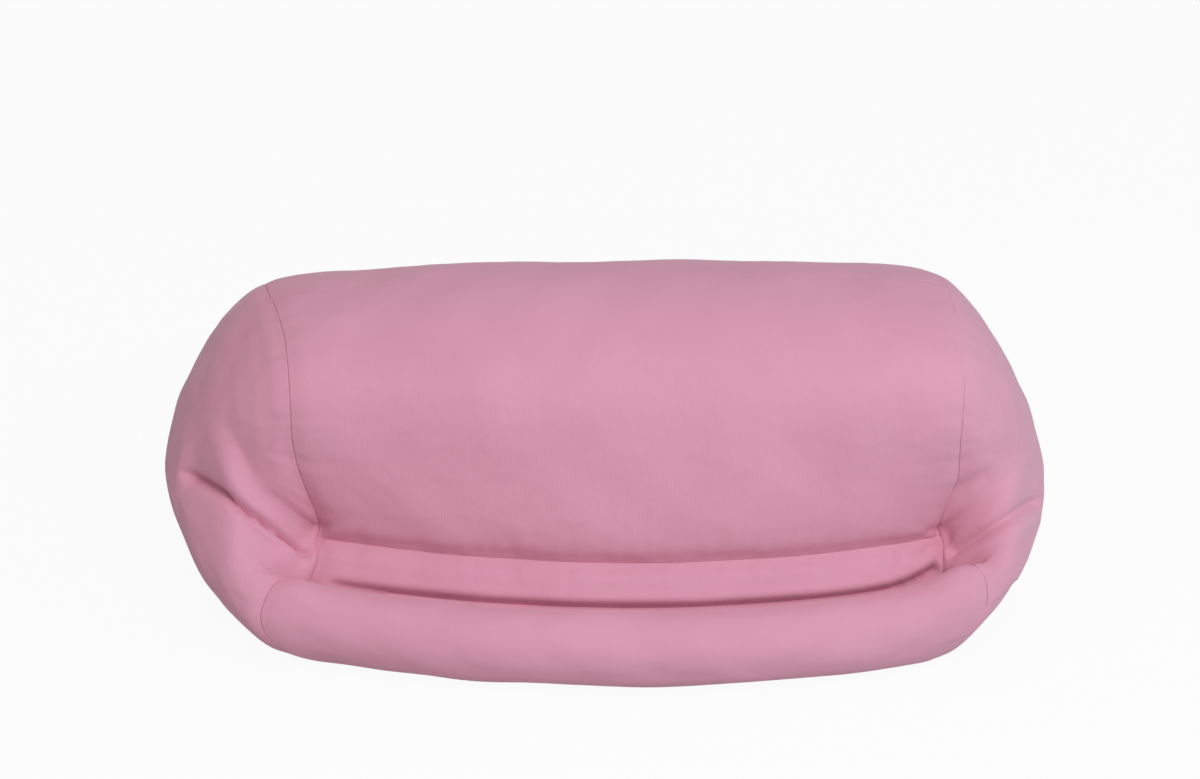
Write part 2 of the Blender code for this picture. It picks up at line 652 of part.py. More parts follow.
def zip_slider(dressed):
    """The slider: two plates round a post, flanges that hold the chain, and a bail on top."""
    half = SLIDER_LENGTH / 2
    floor = PLATE_TOP - SLIDER_PLATE
    ceiling = PLATE_UNDER + SLIDER_PLATE
    shapes = [slider_plate(floor, SLIDER_PLATE), slider_plate(PLATE_UNDER, SLIDER_PLATE)]
    nose = half - POST_INSET
    shapes.append(
        block(
            (nose - POST_LENGTH, ceiling - OVERRUN, -POST_WIDTH / 2),
            (nose, floor + OVERRUN, POST_WIDTH / 2),
        )
    )
    tail = SLIDER_TAIL_WIDTH / 2
    for side in (-1.0, 1.0):
        near, far = sorted((side * (tail - SLIDER_FLANGE), side * (tail - OVERRUN / 4)))
        upper = (TAPE_TOP + RUNNING_GAP, floor + OVERRUN)
        lower = (ceiling - OVERRUN, TAPE_UNDER - RUNNING_GAP)
        for low, high in (upper, lower):
            shapes.append(block((-half + SLIDER_PLATE, low, near), (half - SLIDER_PLATE, high, far)))
    shapes.append(bail())
    return combined("zip_slider", shapes, "UNION", dressed, (SLIDER_X, ZIP_Y, ZIP_Z))


def bail():
    """The arch that the pull tab swings on, standing on the slider's outer plate."""
    span = BAIL_SPAN / 2
    inner = span - BAIL_WIRE
    top = PLATE_TOP + BAIL_INNER_HEIGHT
    foot = PLATE_TOP - OVERRUN
    chamfer = BAIL_WIRE / 2
    line = [(-span, foot), (-span, top), (-span + chamfer, top + BAIL_WIRE - chamfer / 2)]
    line += [(-inner, top + BAIL_WIRE)]
    line += [(-x, out) for x, out in reversed(line)]
    line += [(inner, foot), (inner, top), (-inner, top), (-inner, foot)]
    outline = [(x, out, -BAIL_WIDTH / 2) for x, out in line]
    return prism(outline, (0.0, 0.0, BAIL_WIDTH))


def pull_tab(dressed):
    """The pull tab, lying along the zip, with an eye round the bail and a rounded free end."""
    half = TAB_WIDTH / 2
    bar = TAB_BAR / 2
    neck = TAB_EYE_LENGTH + bar + TAB_BAR
    slim = TAB_EYE_WIDTH / 2 + TAB_BAR
    line = [(bar, -slim), (bar, slim), (-neck, slim), (-neck - TAB_BAR, half)]
    end = TAB_LENGTH - half
    for step in range(TAB_END_STEPS + 1):
        angle = math.pi * (0.5 + step / TAB_END_STEPS)
        line.append((-end + half * math.cos(angle), half * math.sin(angle)))
    line += [(-neck - TAB_BAR, -half), (-neck, -slim)]
    flat = prism([(x, -TAB_THICKNESS / 2, z) for x, z in line], (0.0, TAB_THICKNESS, 0.0))
    eye = block(
        (-bar - TAB_EYE_LENGTH, -TAB_THICKNESS, -TAB_EYE_WIDTH / 2),
        (-bar, TAB_THICKNESS, TAB_EYE_WIDTH / 2),
    )
    place = (SLIDER_X, ZIP_Y + HINGE_OUT, ZIP_Z)
    return combined("zip_pull_tab", [flat, eye], "DIFFERENCE", dressed, place)


def build():
    """Model every sub-part."""
    clear_scene()
    cover = material("cover_pink", (0.73, 0.31, 0.44), 0.85)
    liner = material("liner_white", (0.80, 0.78, 0.76), 0.90)
    tape = material("zip_tape_pink", (0.60, 0.22, 0.34), 0.80)
    metal = material("zip_nickel", (0.66, 0.65, 0.63), 0.35, 1.0)
    points = skin_points()
    skin = (points, outward(points))
    rings = len(DOME_RING_SHARES) - 1
    tube = (rings, len(points) - rings - 1)
    panel("roll_panel", skin, tube, (0, ROW_WEB), cover)
    panel("base_panel", skin, tube, (ROW_WEB, ROW_ZIP_LOW), cover, slot="last")
    panel("main_panel", skin, tube, (ROW_ZIP_HIGH, ROW_CREASE), cover, slot="first")
    panel("ledge_panel", skin, tube, (ROW_CREASE, ROWS), cover)
    end_panel("left_end_panel", skin, -1.0, cover)
    end_panel("right_end_panel", skin, 1.0, cover)
    bead_bag(skin, liner)
    roll_bolster(skin, liner)
    baffle_web(skin, liner)
    zip_tape("zip_tape_upper", 1.0, tape)
    zip_tape("zip_tape_lower", -1.0, tape)
    top_stop("zip_top_stop_upper", 1.0, metal)
    top_stop("zip_top_stop_lower", -1.0, metal)
    bottom_stop(metal)
    zip_slider(metal)
    pull_tab(metal)


build()
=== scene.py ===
"""The beanbag tablet stand, dressed: its sewn cover, its filling, its zip and the studio round it.

The cover is one skin, a smooth function of two numbers. The first runs from the left tip (-2)
over the left end seam (-1), the middle (0) and the right end seam (1) to the right tip (2). The
second runs once round the section, from the groove (0) over the front roll and along the base, up
the back, over the top and down the backrest to the groove again (8). Every panel is a patch of
that skin with the cloth's thickness, and seams, puckers and folds are heights laid on it.
Lengths are in metres, +Z is up and -Y is the front.
"""

import json
import logging
import math
from collections.abc import Callable, Mapping, Sequence
from dataclasses import dataclass, field
from enum import Enum
from functools import cached_property

import bmesh
import bpy
import numpy as np
from mathutils import Matrix, Vector

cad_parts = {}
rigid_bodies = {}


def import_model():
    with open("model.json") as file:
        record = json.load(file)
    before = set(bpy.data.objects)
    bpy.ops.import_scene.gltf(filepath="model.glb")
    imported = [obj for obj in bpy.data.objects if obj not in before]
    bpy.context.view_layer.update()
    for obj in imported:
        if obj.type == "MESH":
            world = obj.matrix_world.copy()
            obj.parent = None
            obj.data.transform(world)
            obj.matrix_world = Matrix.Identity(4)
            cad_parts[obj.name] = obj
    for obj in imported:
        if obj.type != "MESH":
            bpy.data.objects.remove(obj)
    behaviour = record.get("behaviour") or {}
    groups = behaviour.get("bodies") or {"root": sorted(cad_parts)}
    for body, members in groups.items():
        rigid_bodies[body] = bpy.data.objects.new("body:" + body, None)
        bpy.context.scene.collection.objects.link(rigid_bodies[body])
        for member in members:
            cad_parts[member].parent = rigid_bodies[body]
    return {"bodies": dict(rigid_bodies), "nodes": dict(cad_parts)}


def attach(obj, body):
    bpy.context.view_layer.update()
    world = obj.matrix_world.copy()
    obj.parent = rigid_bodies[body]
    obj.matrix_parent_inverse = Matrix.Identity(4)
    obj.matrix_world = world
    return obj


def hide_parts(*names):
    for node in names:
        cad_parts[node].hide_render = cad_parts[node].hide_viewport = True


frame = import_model()
LOG = logging.getLogger("stand")
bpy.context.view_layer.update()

Grid = np.ndarray
Thing = bpy.types.Object
Finish = bpy.types.Material
Colour = tuple[float, float, float]
Point = tuple[float, float, float]

WHITE: Colour = (1.0, 1.0, 1.0)


# ---- Shader graph ----


class Wire:
    """One output of a node, on which Python's arithmetic adds Math nodes."""

    def __init__(self, graph: "Graph", socket: bpy.types.NodeSocket) -> None:
        """Keep the graph that the socket belongs to."""
        self.graph = graph
        self.socket = socket

    def __add__(self, other: "Wire | float") -> "Wire":
        """This plus other."""
        return self.graph.maths("ADD", self, other)

    def __sub__(self, other: "Wire | float") -> "Wire":
        """This minus other."""
        return self.graph.maths("SUBTRACT", self, other)

    def __mul__(self, other: "Wire | float") -> "Wire":
        """This times other."""
        return self.graph.maths("MULTIPLY", self, other)

    def __abs__(self) -> "Wire":
        """This without its sign."""
        return self.graph.maths("ABSOLUTE", self)

    def sine(self) -> "Wire":
        """The sine of this, in radians."""
        return self.graph.maths("SINE", self)


Sockets = Mapping[str | int, object]


class Graph:
    """The node tree of a material or a world, built from Python."""

    def __init__(self, owner: Finish | bpy.types.World) -> None:
        """Empty the owner's tree, but for its output."""
        self.owner = owner
        owner.use_nodes = True
        self.tree = owner.node_tree
        self.tree.nodes.clear()
        kind = "World" if isinstance(owner, bpy.types.World) else "Material"
        self.output = self.tree.nodes.new("ShaderNodeOutput" + kind)

    @classmethod
    def named(cls, name: str) -> "Graph":
        """The graph of a new material of this name."""
        return cls(bpy.data.materials.new(name))

    def add(self, kind: str, sockets: Sockets | None = None, **settings: object) -> bpy.types.Node:
        """Add a node.

        Args:
            kind: the node's type, without its ShaderNode prefix.
            sockets: a Wire, a number, a vector or an opaque colour for each input, by name or
                number.
            settings: properties of the node, set first.

        Returns:
            The node.
        """
        node = self.tree.nodes.new("ShaderNode" + kind)
        for key, value in settings.items():
            setattr(node, key, value)
        for key, value in (sockets or {}).items():
            socket = node.inputs[key]
            if isinstance(value, Wire):
                self.tree.links.new(value.socket, socket)
            else:
                socket.default_value = (*value, 1.0) if socket.type == "RGBA" else value
        return node

    def wire(self, node: bpy.types.Node, output: str | int = 0) -> Wire:
        """One output of a node as a Wire."""
        return Wire(self, node.outputs[output])

    def maths(self, operation: str, *values: "Wire | float") -> Wire:
        """A Math node on these values."""
        return self.wire(self.add("Math", dict(enumerate(values)), operation=operation))

    def held(self, value: Wire) -> Wire:
        """A value kept between 0 and 1."""
        return self.wire(self.add("Clamp", {"Value": value}))

    def on_piece(self) -> Wire:
        """The place on the piece, in metres."""
        return self.wire(self.add("TexCoord"), "Object")

    def on_cloth(self) -> tuple[Wire, Wire]:
        """The place on the piece's flat map, across and along."""
        node = self.add("SeparateXYZ", {0: self.wire(self.add("TexCoord"), "UV")})
        return self.wire(node, 0), self.wire(node, 1)

    def noise(self, place: Wire, scale: float, detail: float = 3.0, rough: float = 0.55) -> Wire:
        """Noise about 0.5 at so many lumps in a metre."""
        sockets = {"Vector": place, "Scale": scale, "Detail": detail, "Roughness": rough}
        return self.wire(self.add("TexNoise", sockets), 0)

    def spots(self, noise: Wire, start: float, gain: float) -> Wire:
        """Spots where noise is past start: 0 there and rising to 1 at this gain."""
        return self.held((noise - start) * gain)

    def mixed(self, share: "Wire | float", one: object, other: object) -> Wire:
        """One colour at share 0, the other at share 1."""
        return self.wire(self.add("Mix", {0: share, 6: one, 7: other}, data_type="RGBA"), 2)

    def bump(self, height: Wire, strength: float, distance: float) -> Wire:
        """A Bump node's normal."""
        sockets = {"Height": height, "Strength": strength, "Distance": distance}
        return self.wire(self.add("Bump", sockets))

    def surface(self, **sockets: object) -> Finish:
        """A Principled shader; an underscore in an input's name stands for a space."""
        named = {key.replace("_", " "): value for key, value in sockets.items()}
        return self.shown(self.wire(self.add("BsdfPrincipled", named)))

    def shown(self, shader: Wire) -> Finish:
        """Send a shader to the output and return the tree's owner."""
        self.tree.links.new(shader.socket, self.output.inputs["Surface"])
        return self.owner


# ---- Finishes ----


@dataclass(frozen=True)
class BrushedKnit:
    """The pink cover: a fine knit brushed to a short nap, a little uneven in tone."""

    name: str = "brushed_pink_knit"
    colour: Colour = (0.735, 0.335, 0.455)
    deep: Colour = (0.680, 0.300, 0.412)
    pale: Colour = (0.765, 0.368, 0.485)
    sheen: Colour = (1.0, 0.86, 0.91)
    stitch_width: float = 0.0011
    stitch_height: float = 0.0009

    def material(self) -> Finish:
        """Tone from patches, nap and flecks of noise, and nap and knit loops in the bump.

        A loop's height is the sine across its wale, bent by the sine along its course.
        """
        graph = Graph.named(self.name)
        place = graph.on_piece()
        across, along = graph.on_cloth()
        patch = graph.spots(graph.noise(place, 22.0, 2.0), 0.36, 3.4)
        nap = graph.noise(place, 900.0, 3.0, 0.65)
        tone = graph.mixed(patch * 0.55 + nap * 0.25, self.colour, self.deep)
        fleck = graph.spots(graph.noise(place, 2600.0, 2.0), 0.52, 3.0)
        tone = graph.mixed(fleck * 0.28, tone, self.pale)
        wale = across * (math.tau / self.stitch_width)
        course = along * (math.tau / self.stitch_height)
        loops = (wale + course.sine() * 0.9).sine() * 0.5 + (course + wale * 0.5).sine() * 0.22
        return graph.surface(
            Base_Color=tone, Roughness=graph.held(nap * 0.16 + 0.78),
            Normal=graph.bump(loops + nap * 1.8, 0.08, 0.0004), Specular_IOR_Level=0.25,
            Sheen_Weight=0.30, Sheen_Roughness=0.45, Sheen_Tint=self.sheen,
        )


@dataclass(frozen=True)
class LinerWeave:
    """The undyed plain weave of the inner bag, the roll's case and the web."""

    name: str = "liner_weave"
    colour: Colour = (0.80, 0.78, 0.74)
    deep: Colour = (0.68, 0.65, 0.60)
    thread: float = 0.0010

    def material(self) -> Finish:
        """Plain weave: the product of two sines, with slubs from noise."""
        graph = Graph.named(self.name)
        across, along = graph.on_cloth()
        warp = (across * (math.tau / self.thread)).sine()
        weft = (along * (math.tau / self.thread)).sine()
        slub = graph.noise(graph.on_piece(), 240.0)
        weave = warp * weft * 0.5 + 0.5
        share = graph.held(slub * 0.7 + weave * 0.2)
        tone = graph.mixed(share, self.colour, self.deep)
        normal = graph.bump(weave + slub * 0.6, 0.35, 0.0003)
        return graph.surface(Base_Color=tone, Roughness=0.92, Normal=normal)


@dataclass(frozen=True)
class TapeWeave:
    """The zip's woven tape: a herringbone of fine ribs in a deeper pink."""

    name: str = "zip_tape_weave"
    colour: Colour = (0.600, 0.200, 0.330)
    deep: Colour = (0.480, 0.140, 0.250)
    rib: float = 0.0011

    def material(self) -> Finish:
        """Herringbone: diagonal ribs whose slope turns over every three ribs."""
        graph = Graph.named(self.name)
        across, along = graph.on_cloth()
        band = abs((along * (math.tau / (self.rib * 3.0))).sine())
        ribs = (across * (math.tau / self.rib) + band * 3.2).sine() * 0.5 + 0.5
        lint = graph.noise(graph.on_piece(), 1200.0)
        tone = graph.mixed(graph.held(ribs * 0.5 + lint * 0.3), self.deep, self.colour)
        normal = graph.bump(ribs + lint * 0.4, 0.5, 0.0003)
        return graph.surface(Base_Color=tone, Roughness=0.82, Normal=normal, Sheen_Weight=0.15)


@dataclass(frozen=True)
class MouldedTeeth:
    """Moulded plastic, in the tape's pink but smoother, with faint flow marks."""

    name: str = "moulded_teeth"
    colour: Colour = (0.640, 0.225, 0.360)
    deep: Colour = (0.540, 0.175, 0.295)

    def material(self) -> Finish:
        """A satin plastic with a little wear in its gloss."""
        graph = Graph.named(self.name)
        place = graph.on_piece()
        rubbed = graph.noise(place, 1500.0, 2.0)
        tone = graph.mixed(graph.noise(place, 420.0, 2.0), self.colour, self.deep)
        normal = graph.bump(rubbed, 0.10, 0.0002)
        return graph.surface(Base_Color=tone, Roughness=rubbed * 0.3 + 0.28, Normal=normal)


@dataclass(frozen=True)
class RubbedNickel:
    """Plated die-cast metal, dulled in patches and finely scratched."""

    name: str = "rubbed_nickel"
    colour: Colour = (0.66, 0.65, 0.62)
    dull: Colour = (0.50, 0.48, 0.45)
    stretch: Point = (0.12, 1.0, 1.0)

    def material(self) -> Finish:
        """Bright plate with dull patches, and scratches along the zip from stretched noise."""
        graph = Graph.named(self.name)
        place = graph.on_piece()
        along = graph.wire(graph.add("Mapping", {"Vector": place, "Scale": self.stretch}))
        scratch = graph.spots(graph.noise(along, 5200.0, 2.0), 0.45, 3.0)
        patch = graph.spots(graph.noise(place, 420.0), 0.42, 2.6)
        tone = graph.mixed(patch, self.colour, self.dull)
        normal = graph.bump(scratch, 0.12, 0.0001)
        rough = graph.held(patch * 0.16 + scratch * 0.10 + 0.20)
        return graph.surface(Base_Color=tone, Roughness=rough, Metallic=1.0, Normal=normal)


@dataclass(frozen=True)
class SewingThread:
    """Spun thread: its two plies wind along each stitch."""

    name: str = "sewing_thread"
    colour: Colour = (0.680, 0.255, 0.390)
    deep: Colour = (0.500, 0.160, 0.275)

    def material(self) -> Finish:
        """Ply: the sine of a slope across the stitch's own map."""
        graph = Graph.named(self.name)
        across, along = graph.on_cloth()
        ply = (along * 26.0 + across * math.tau).sine() * 0.5 + 0.5
        lint = graph.noise(graph.on_piece(), 2600.0)
        tone = graph.mixed(graph.held(ply * 0.8 + lint * 0.2), self.deep, self.colour)
        normal = graph.bump(ply, 0.4, 0.0001)
        return graph.surface(Base_Color=tone, Roughness=0.7, Normal=normal)


@dataclass(frozen=True)
class PaleFloor:
    """A white sweep: seen by the camera it is nearly white, and it keeps the soft shadow."""

    name: str = "pale_floor"
    colour: Colour = (0.66, 0.66, 0.66)
    deep: Colour = (0.62, 0.62, 0.62)
    glow: float = 0.94

    def material(self) -> Finish:
        """Matt white, part of it glowing for the camera and for reflections alone."""
        graph = Graph.named(self.name)
        grain = graph.noise(graph.on_piece(), 60.0)
        tone = graph.mixed(grain * 0.1, self.colour, self.deep)
        matt = graph.wire(graph.add("BsdfDiffuse", {"Color": tone}))
        glow = graph.wire(graph.add("Emission", {"Color": WHITE, "Strength": 1.0}))
        ray = graph.add("LightPath")
        seen = [graph.wire(ray, name) for name in ("Is Camera Ray", "Is Glossy Ray")]
        sockets = {0: graph.maths("MAXIMUM", *seen) * self.glow, 1: matt, 2: glow}
        return graph.shown(graph.wire(graph.add("MixShader", sockets)))


# ---- Small helpers on arrays ----


def smooth(value: Grid) -> Grid:
    """0 below 0, 1 above 1, and an S-curve between."""
    held = np.clip(value, 0.0, 1.0)
    return held * held * (3.0 - 2.0 * held)


def bell(distance: Grid, width: float) -> Grid:
    """1 at distance 0, falling off as a bell of this width."""
    return np.exp(-((distance / width) ** 2))


def length(vectors: Grid) -> Grid:
    """The lengths of an array of vectors."""
    return np.sqrt(np.sum(vectors * vectors, axis=-1))


def unit(vectors: Grid) -> Grid:
    """Vectors scaled to a length of one."""
    return vectors / np.maximum(length(vectors), 1e-12)[..., None]


def wrapped(v: Grid) -> Grid:
    """A place round the section, brought into one turn of 8."""
    return np.mod(v, 8.0)


def travelled(points: Grid, axis: int = 0) -> Grid:
    """Distance run along a grid of points from its start, along one axis."""
    steps = length(np.diff(points, axis=axis))
    start = np.zeros_like(np.take(steps, [0], axis=axis))
    return np.concatenate([start, np.cumsum(steps, axis=axis)], axis=axis)


def graded(total: float, spacing: float, edge: Sequence[float]) -> Grid:
    """Places from 0 to total: those of edge, counted from each end, and even steps between."""
    first = np.array(edge)
    last = total - first[::-1]
    count = max(int(round((last[0] - first[-1]) / spacing)), 1)
    return np.concatenate([first, np.linspace(first[-1], last[0], count + 1)[1:-1], last])


# ---- The skin ----


class Row(float, Enum):
    """Places round the section where one stretch ends and the next begins."""

    GROOVE = 0.0
    ROLL_BASE = 1.0
    WEB = 2.0
    CORNER = 3.0
    ZIP_LOW = 4.0
    ZIP_LINE = 4.5
    ZIP_HIGH = 5.0
    TOP = 6.0
    CREASE = 7.0
    ROUND = 8.0


@dataclass(frozen=True)
class CushionEnd:
    """The sizes of one end of the cushion, which filling and sewing make a little one-sided."""

    tip: Point
    turn: float
    power: float
    crown: float
    roll_sweep: float
    crease_sweep: float
    roll_lift: float
    corner_lift: float
    notch_reaches: tuple[float, ...]
    seam_shares: tuple[float, ...]


SEAM_ROWS = (
    0.0, 0.05, 0.10, 0.15, 0.25, 0.35, 0.45, 0.55, 0.62, 0.70, 1.0, 2.0, 3.0, 4.5, 5.5, 5.8, 5.95,
    6.1, 6.2, 6.35, 6.65, 6.70, 6.76, 6.82, 6.88, 6.94, 7.0, 7.4, 8.0,
)
LEFT_END = CushionEnd(
    tip=(-0.17777, -0.00067, 0.05087), turn=0.4568, power=0.6135, crown=0.0737,
    roll_sweep=0.02554, crease_sweep=0.02092, roll_lift=0.0015, corner_lift=0.0020,
    notch_reaches=(0.90, 0.80, 0.64, 0.54, 0.48, 0.45),
    seam_shares=(
        0.945, 0.948, 0.955, 0.968, 0.998, 1.030, 1.059, 1.081, 1.083, 1.060, 0.925, 0.97, 1.0, 1.0,
        1.03, 1.05, 1.046, 1.030, 1.016, 1.008, 0.999, 0.992, 0.978, 0.957, 0.935, 0.911, 0.898,
        0.905, 0.945,
    ),
)
RIGHT_END = CushionEnd(
    tip=(0.17623, -0.00274, 0.04886), turn=0.5211, power=0.7499, crown=0.0705,
    roll_sweep=0.02690, crease_sweep=0.02129, roll_lift=0.0070, corner_lift=0.0028,
    notch_reaches=(0.90, 0.80, 0.66, 0.56, 0.50, 0.50),
    seam_shares=(
        0.976, 0.977, 0.982, 0.990, 1.015, 1.048, 1.073, 1.081, 1.048, 0.990, 0.905, 0.96, 1.0, 1.0,
        0.995, 0.995, 0.992, 0.989, 0.992, 0.994, 0.993, 0.999, 1.004, 1.004, 0.989, 0.974, 0.978,
        0.977, 0.976,
    ),
)


@dataclass
class Skin:
    """The cover's outer surface, before seams and folds."""

    seam_x: float = 0.132
    top_z: float = 0.127
    body_radius: float = 0.0725
    back_y: float = 0.090
    widest_z: float = 0.045
    sag_depth: float = 0.052
    crease_deg: float = 194.0
    sweep_from_deg: float = 120.0
    crown_from: float = 0.40
    tuck: float = 0.060
    tuck_from: float = 0.78
    top_tilt: float = 0.004017
    ledge_swell: float = 0.0016
    rim_lift: float = 0.0006
    rim_share: float = 0.12
    roll_radius: float = 0.0147
    roll_front_y: float = -0.0953
    groove_deg: float = 4.0
    roll_share: float = 1.0565
    crease_share: float = 0.9407
    zip_face_deg: float = 6.25
    notch_rows: tuple[float, float] = (6.55, 0.58)
    notch_stops: tuple[float, ...] = (0.0, 0.3125, 0.625, 1.0)
    notch_step: float = 0.02
    notch_lead: float = 0.9
    notch_trail: float = 0.7
    notch_places: tuple[float, ...] = (0.0, 0.15, 0.30, 0.45, 0.65, 1.0)
    roll_lift_run: tuple[float, float] = (0.70, 1.1)
    corner_lift_run: tuple[float, float] = (0.88, 1.0)
    dome_softening: float = 0.007
    softened_from: float = 0.4
    corner_softening: float = 0.006
    corner_weights: tuple[float, ...] = (0.1, 0.24, 0.32, 0.24, 0.1)
    normal_steps: tuple[float, float] = (0.004, 0.0005)
    ends: tuple[CushionEnd, CushionEnd] = (LEFT_END, RIGHT_END)
    seam_rows: tuple[float, ...] = SEAM_ROWS

    def __post_init__(self) -> None:
        """Work out the tables that the surface is read from."""
        self.body_y = self.back_y - self.body_radius
        self.corner_deg = -math.degrees(math.asin(self.widest_z / self.sag_depth))
        self.high = self.top_z - self.widest_z
        self.zip_lean = math.radians(self.zip_face_deg)
        self.strip_half = (self.high + self.sag_depth) * math.sin(self.zip_lean) / 2.0
        self.fine = np.linspace(0.0, 8.0, 3201)
        self.shares = [self._share_table(end) for end in self.ends]
        zero = np.zeros_like(self.fine)
        self.run = travelled(np.stack(self._sharp_section(zero, self.fine), axis=-1))
        self.around = self.run[-1]
        self.seams = [self._tube(np.full_like(self.fine, side), self.fine) for side in (-1.0, 1.0)]
        self.seam_runs = [travelled(seam) for seam in self.seams]

    def _share_table(self, end: CushionEnd) -> Grid:
        """An end's seam shares at the fine places, averaged over a bell of 61 of them."""
        weights = bell(np.linspace(-2.5, 2.5, 61), 1.0)
        table = np.interp(self.fine[:-1], self.seam_rows, end.seam_shares)
        padded = np.concatenate([table[-30:], table, table[:30]])
        table = np.convolve(padded, weights / weights.sum(), "valid")
        return np.append(table, table[0])

    def run_at(self, v: Grid) -> Grid:
        """Metres round the middle section at v."""
        return np.interp(wrapped(v), self.fine, self.run) + np.floor(v / 8.0) * self.around

    def row_at(self, run: Grid) -> Grid:
        """The v that lies so many metres round the middle section."""
        return np.interp(np.mod(run, self.around), self.run, self.fine)

    def half_length(self, v: Grid, side: Grid) -> Grid:
        """Half-length of the tube at v, on the left where side is below 0."""
        left, right = (np.interp(wrapped(v), self.fine, table) for table in self.shares)
        return self.seam_x * np.where(side < 0.0, left, right)

    def _pick(self, x: Grid, name: str) -> Grid:
        """The left or right end's value of this name, by the sign of x."""
        return np.where(x < 0.0, getattr(self.ends[0], name), getattr(self.ends[1], name))

    def _rise(self, x: Grid, name: str, stretch: tuple[float, float]) -> Grid:
        """An end's lift of this name, coming in over a stretch of shares of the half-length."""
        start, end = stretch
        return self._pick(x, name) * smooth((np.abs(x) / self.seam_x - start) / (end - start))

    def groove_y(self, x: Grid) -> Grid:
        """The groove's seam: the rear of the roll, which sweeps back with the square of x."""
        deep = self.roll_radius * (1.0 + math.cos(math.radians(self.groove_deg)))
        sweep = self._pick(x, "roll_sweep") * (x / (self.seam_x * self.roll_share)) ** 2
        return self.roll_front_y + deep + sweep

    def body(self, x: Grid, degrees: Grid) -> tuple[Grid, Grid]:
        """The body: two quarter ellipses behind and an arc in front, drawn in near the ends.

        The crown drops with the cube of x, the lower back tucks in with the square of its
        distance past the tuck's start, and the backrest sweeps back with the square of x.
        """
        angle = np.radians(degrees)
        along = np.abs(x) / self.seam_x
        rising = np.clip((np.sin(angle) - self.crown_from) / (1.0 - self.crown_from), 0.0, 1.0)
        tuck = np.clip((along - self.tuck_from) / (1.0 - self.tuck_from), 0.0, None) ** 2
        behind = (degrees < 90.0) * (1.0 - rising)
        shrink = 1.0 - self._pick(x, "crown") * rising * along**3 - self.tuck * behind * tuck
        above = np.where(degrees < 90.0, self.high, self.body_radius)
        depth = np.where(degrees < 0.0, self.sag_depth, above)
        middle_z = np.where(degrees < 90.0, self.widest_z, self.top_z - self.body_radius)
        first = self.sweep_from_deg
        forward = smooth((degrees - first) / (self.crease_deg - first))
        sweep = self._pick(x, "crease_sweep") * (x / (self.seam_x * self.crease_share)) ** 2
        y = self.body_y + self.body_radius * np.cos(angle) * shrink + forward * sweep
        z = middle_z + depth * np.sin(angle) * np.where(degrees < 0.0, 1.0, shrink)
        return y, z + self.top_tilt * rising * x / self.seam_x

    def _body_at(self, x: Grid, degrees: float) -> tuple[Grid, Grid]:
        """The body at one angle, whatever x."""
        return self.body(x, np.full_like(x, degrees))

    def _sharp_section(self, x: Grid, v: Grid) -> tuple[Grid, Grid]:
        """The y and z of the section at x, with its corner at the base left sharp.

        The roll comes first; each later stretch takes over past its own row.
        """
        v = wrapped(v)
        groove = self.groove_y(x)
        tilt = math.radians(self.groove_deg)
        roll_y = groove - self.roll_radius * math.cos(tilt)
        roll_z = self.roll_radius + self.rim_lift
        turn = np.radians(self.groove_deg + (270.0 - self.groove_deg) * np.clip(v, 0.0, 1.0))
        lift = self._rise(x, "roll_lift", self.roll_lift_run)
        lift = lift + self._rise(x, "corner_lift", self.corner_lift_run)
        y = roll_y + self.roll_radius * np.cos(turn)
        z = roll_z + self.roll_radius * np.sin(turn) + lift * np.maximum(np.sin(turn), 0.0)

        def past(row: Row, new_y: Grid, new_z: Grid) -> tuple[Grid, Grid]:
            """The section with a new stretch past this row."""
            return np.where(v > row, new_y, y), np.where(v > row, new_z, z)

        share = np.clip(v - Row.ROLL_BASE, 0.0, 1.0)
        y, z = past(Row.ROLL_BASE, roll_y + (groove - roll_y) * share, self.rim_lift)
        share = np.clip(v - Row.WEB, 0.0, 1.0)
        corner_y, _ = self._body_at(x, self.corner_deg)
        rim = np.minimum(self.rim_lift * (np.abs(x) / self.seam_x) ** 8, self.rim_lift)
        base_z = self.rim_lift + (rim - self.rim_lift) * smooth(share / self.rim_share)
        y, z = past(Row.WEB, groove + (corner_y - groove) * share, base_z)
        stops = (Row.CORNER, Row.ZIP_LOW, Row.ZIP_HIGH, Row.TOP, Row.CREASE)
        angles = (self.corner_deg, -self.zip_face_deg, self.zip_face_deg, 90.0, self.crease_deg)
        y, z = past(Row.CORNER, *self.body(x, np.interp(v, stops, angles)))
        strip = (v > Row.ZIP_LOW) & (v < Row.ZIP_HIGH)
        share = np.clip(v - Row.ZIP_LOW, 0.0, 1.0)
        low_y, low_z = self._body_at(x, -self.zip_face_deg)
        high_y, high_z = self._body_at(x, self.zip_face_deg)
        y = np.where(strip, low_y + (high_y - low_y) * share, y)
        z = np.where(strip, low_z + (high_z - low_z) * share, z)
        share = np.clip(v - Row.CREASE, 0.0, 1.0)
        crease_y, crease_z = self._body_at(x, self.crease_deg)
        swell = self.ledge_swell * np.sin(np.pi * share)
        groove_z = roll_z + self.roll_radius * math.sin(tilt)
        return past(
            Row.CREASE, crease_y + (groove - crease_y) * share - swell,
            crease_z + (groove_z - crease_z) * share + swell,
        )

    def section(self, x: Grid, v: Grid) -> tuple[Grid, Grid]:
        """The section, averaged over a short run either side of the base's corner."""
        run = self.run_at(v)
        soft = self.corner_softening
        off = np.abs(run - self.run_at(np.float64(Row.CORNER)))
        reach = soft * np.clip(1.0 - off / (2.5 * soft), 0.0, 1.0)
        total = np.zeros((2, *x.shape))
        for step, weight in zip((-1.0, -0.5, 0.0, 0.5, 1.0), self.corner_weights):
            total += weight * np.stack(self._sharp_section(x, self.row_at(run + step * reach)))
        return total[0], total[1]

    def _tube(self, u: Grid, v: Grid) -> Grid:
        """Points of the part between the end seams."""
        x = u * self.half_length(v, u)
        return np.stack([x, *self.section(x, v)], axis=-1)

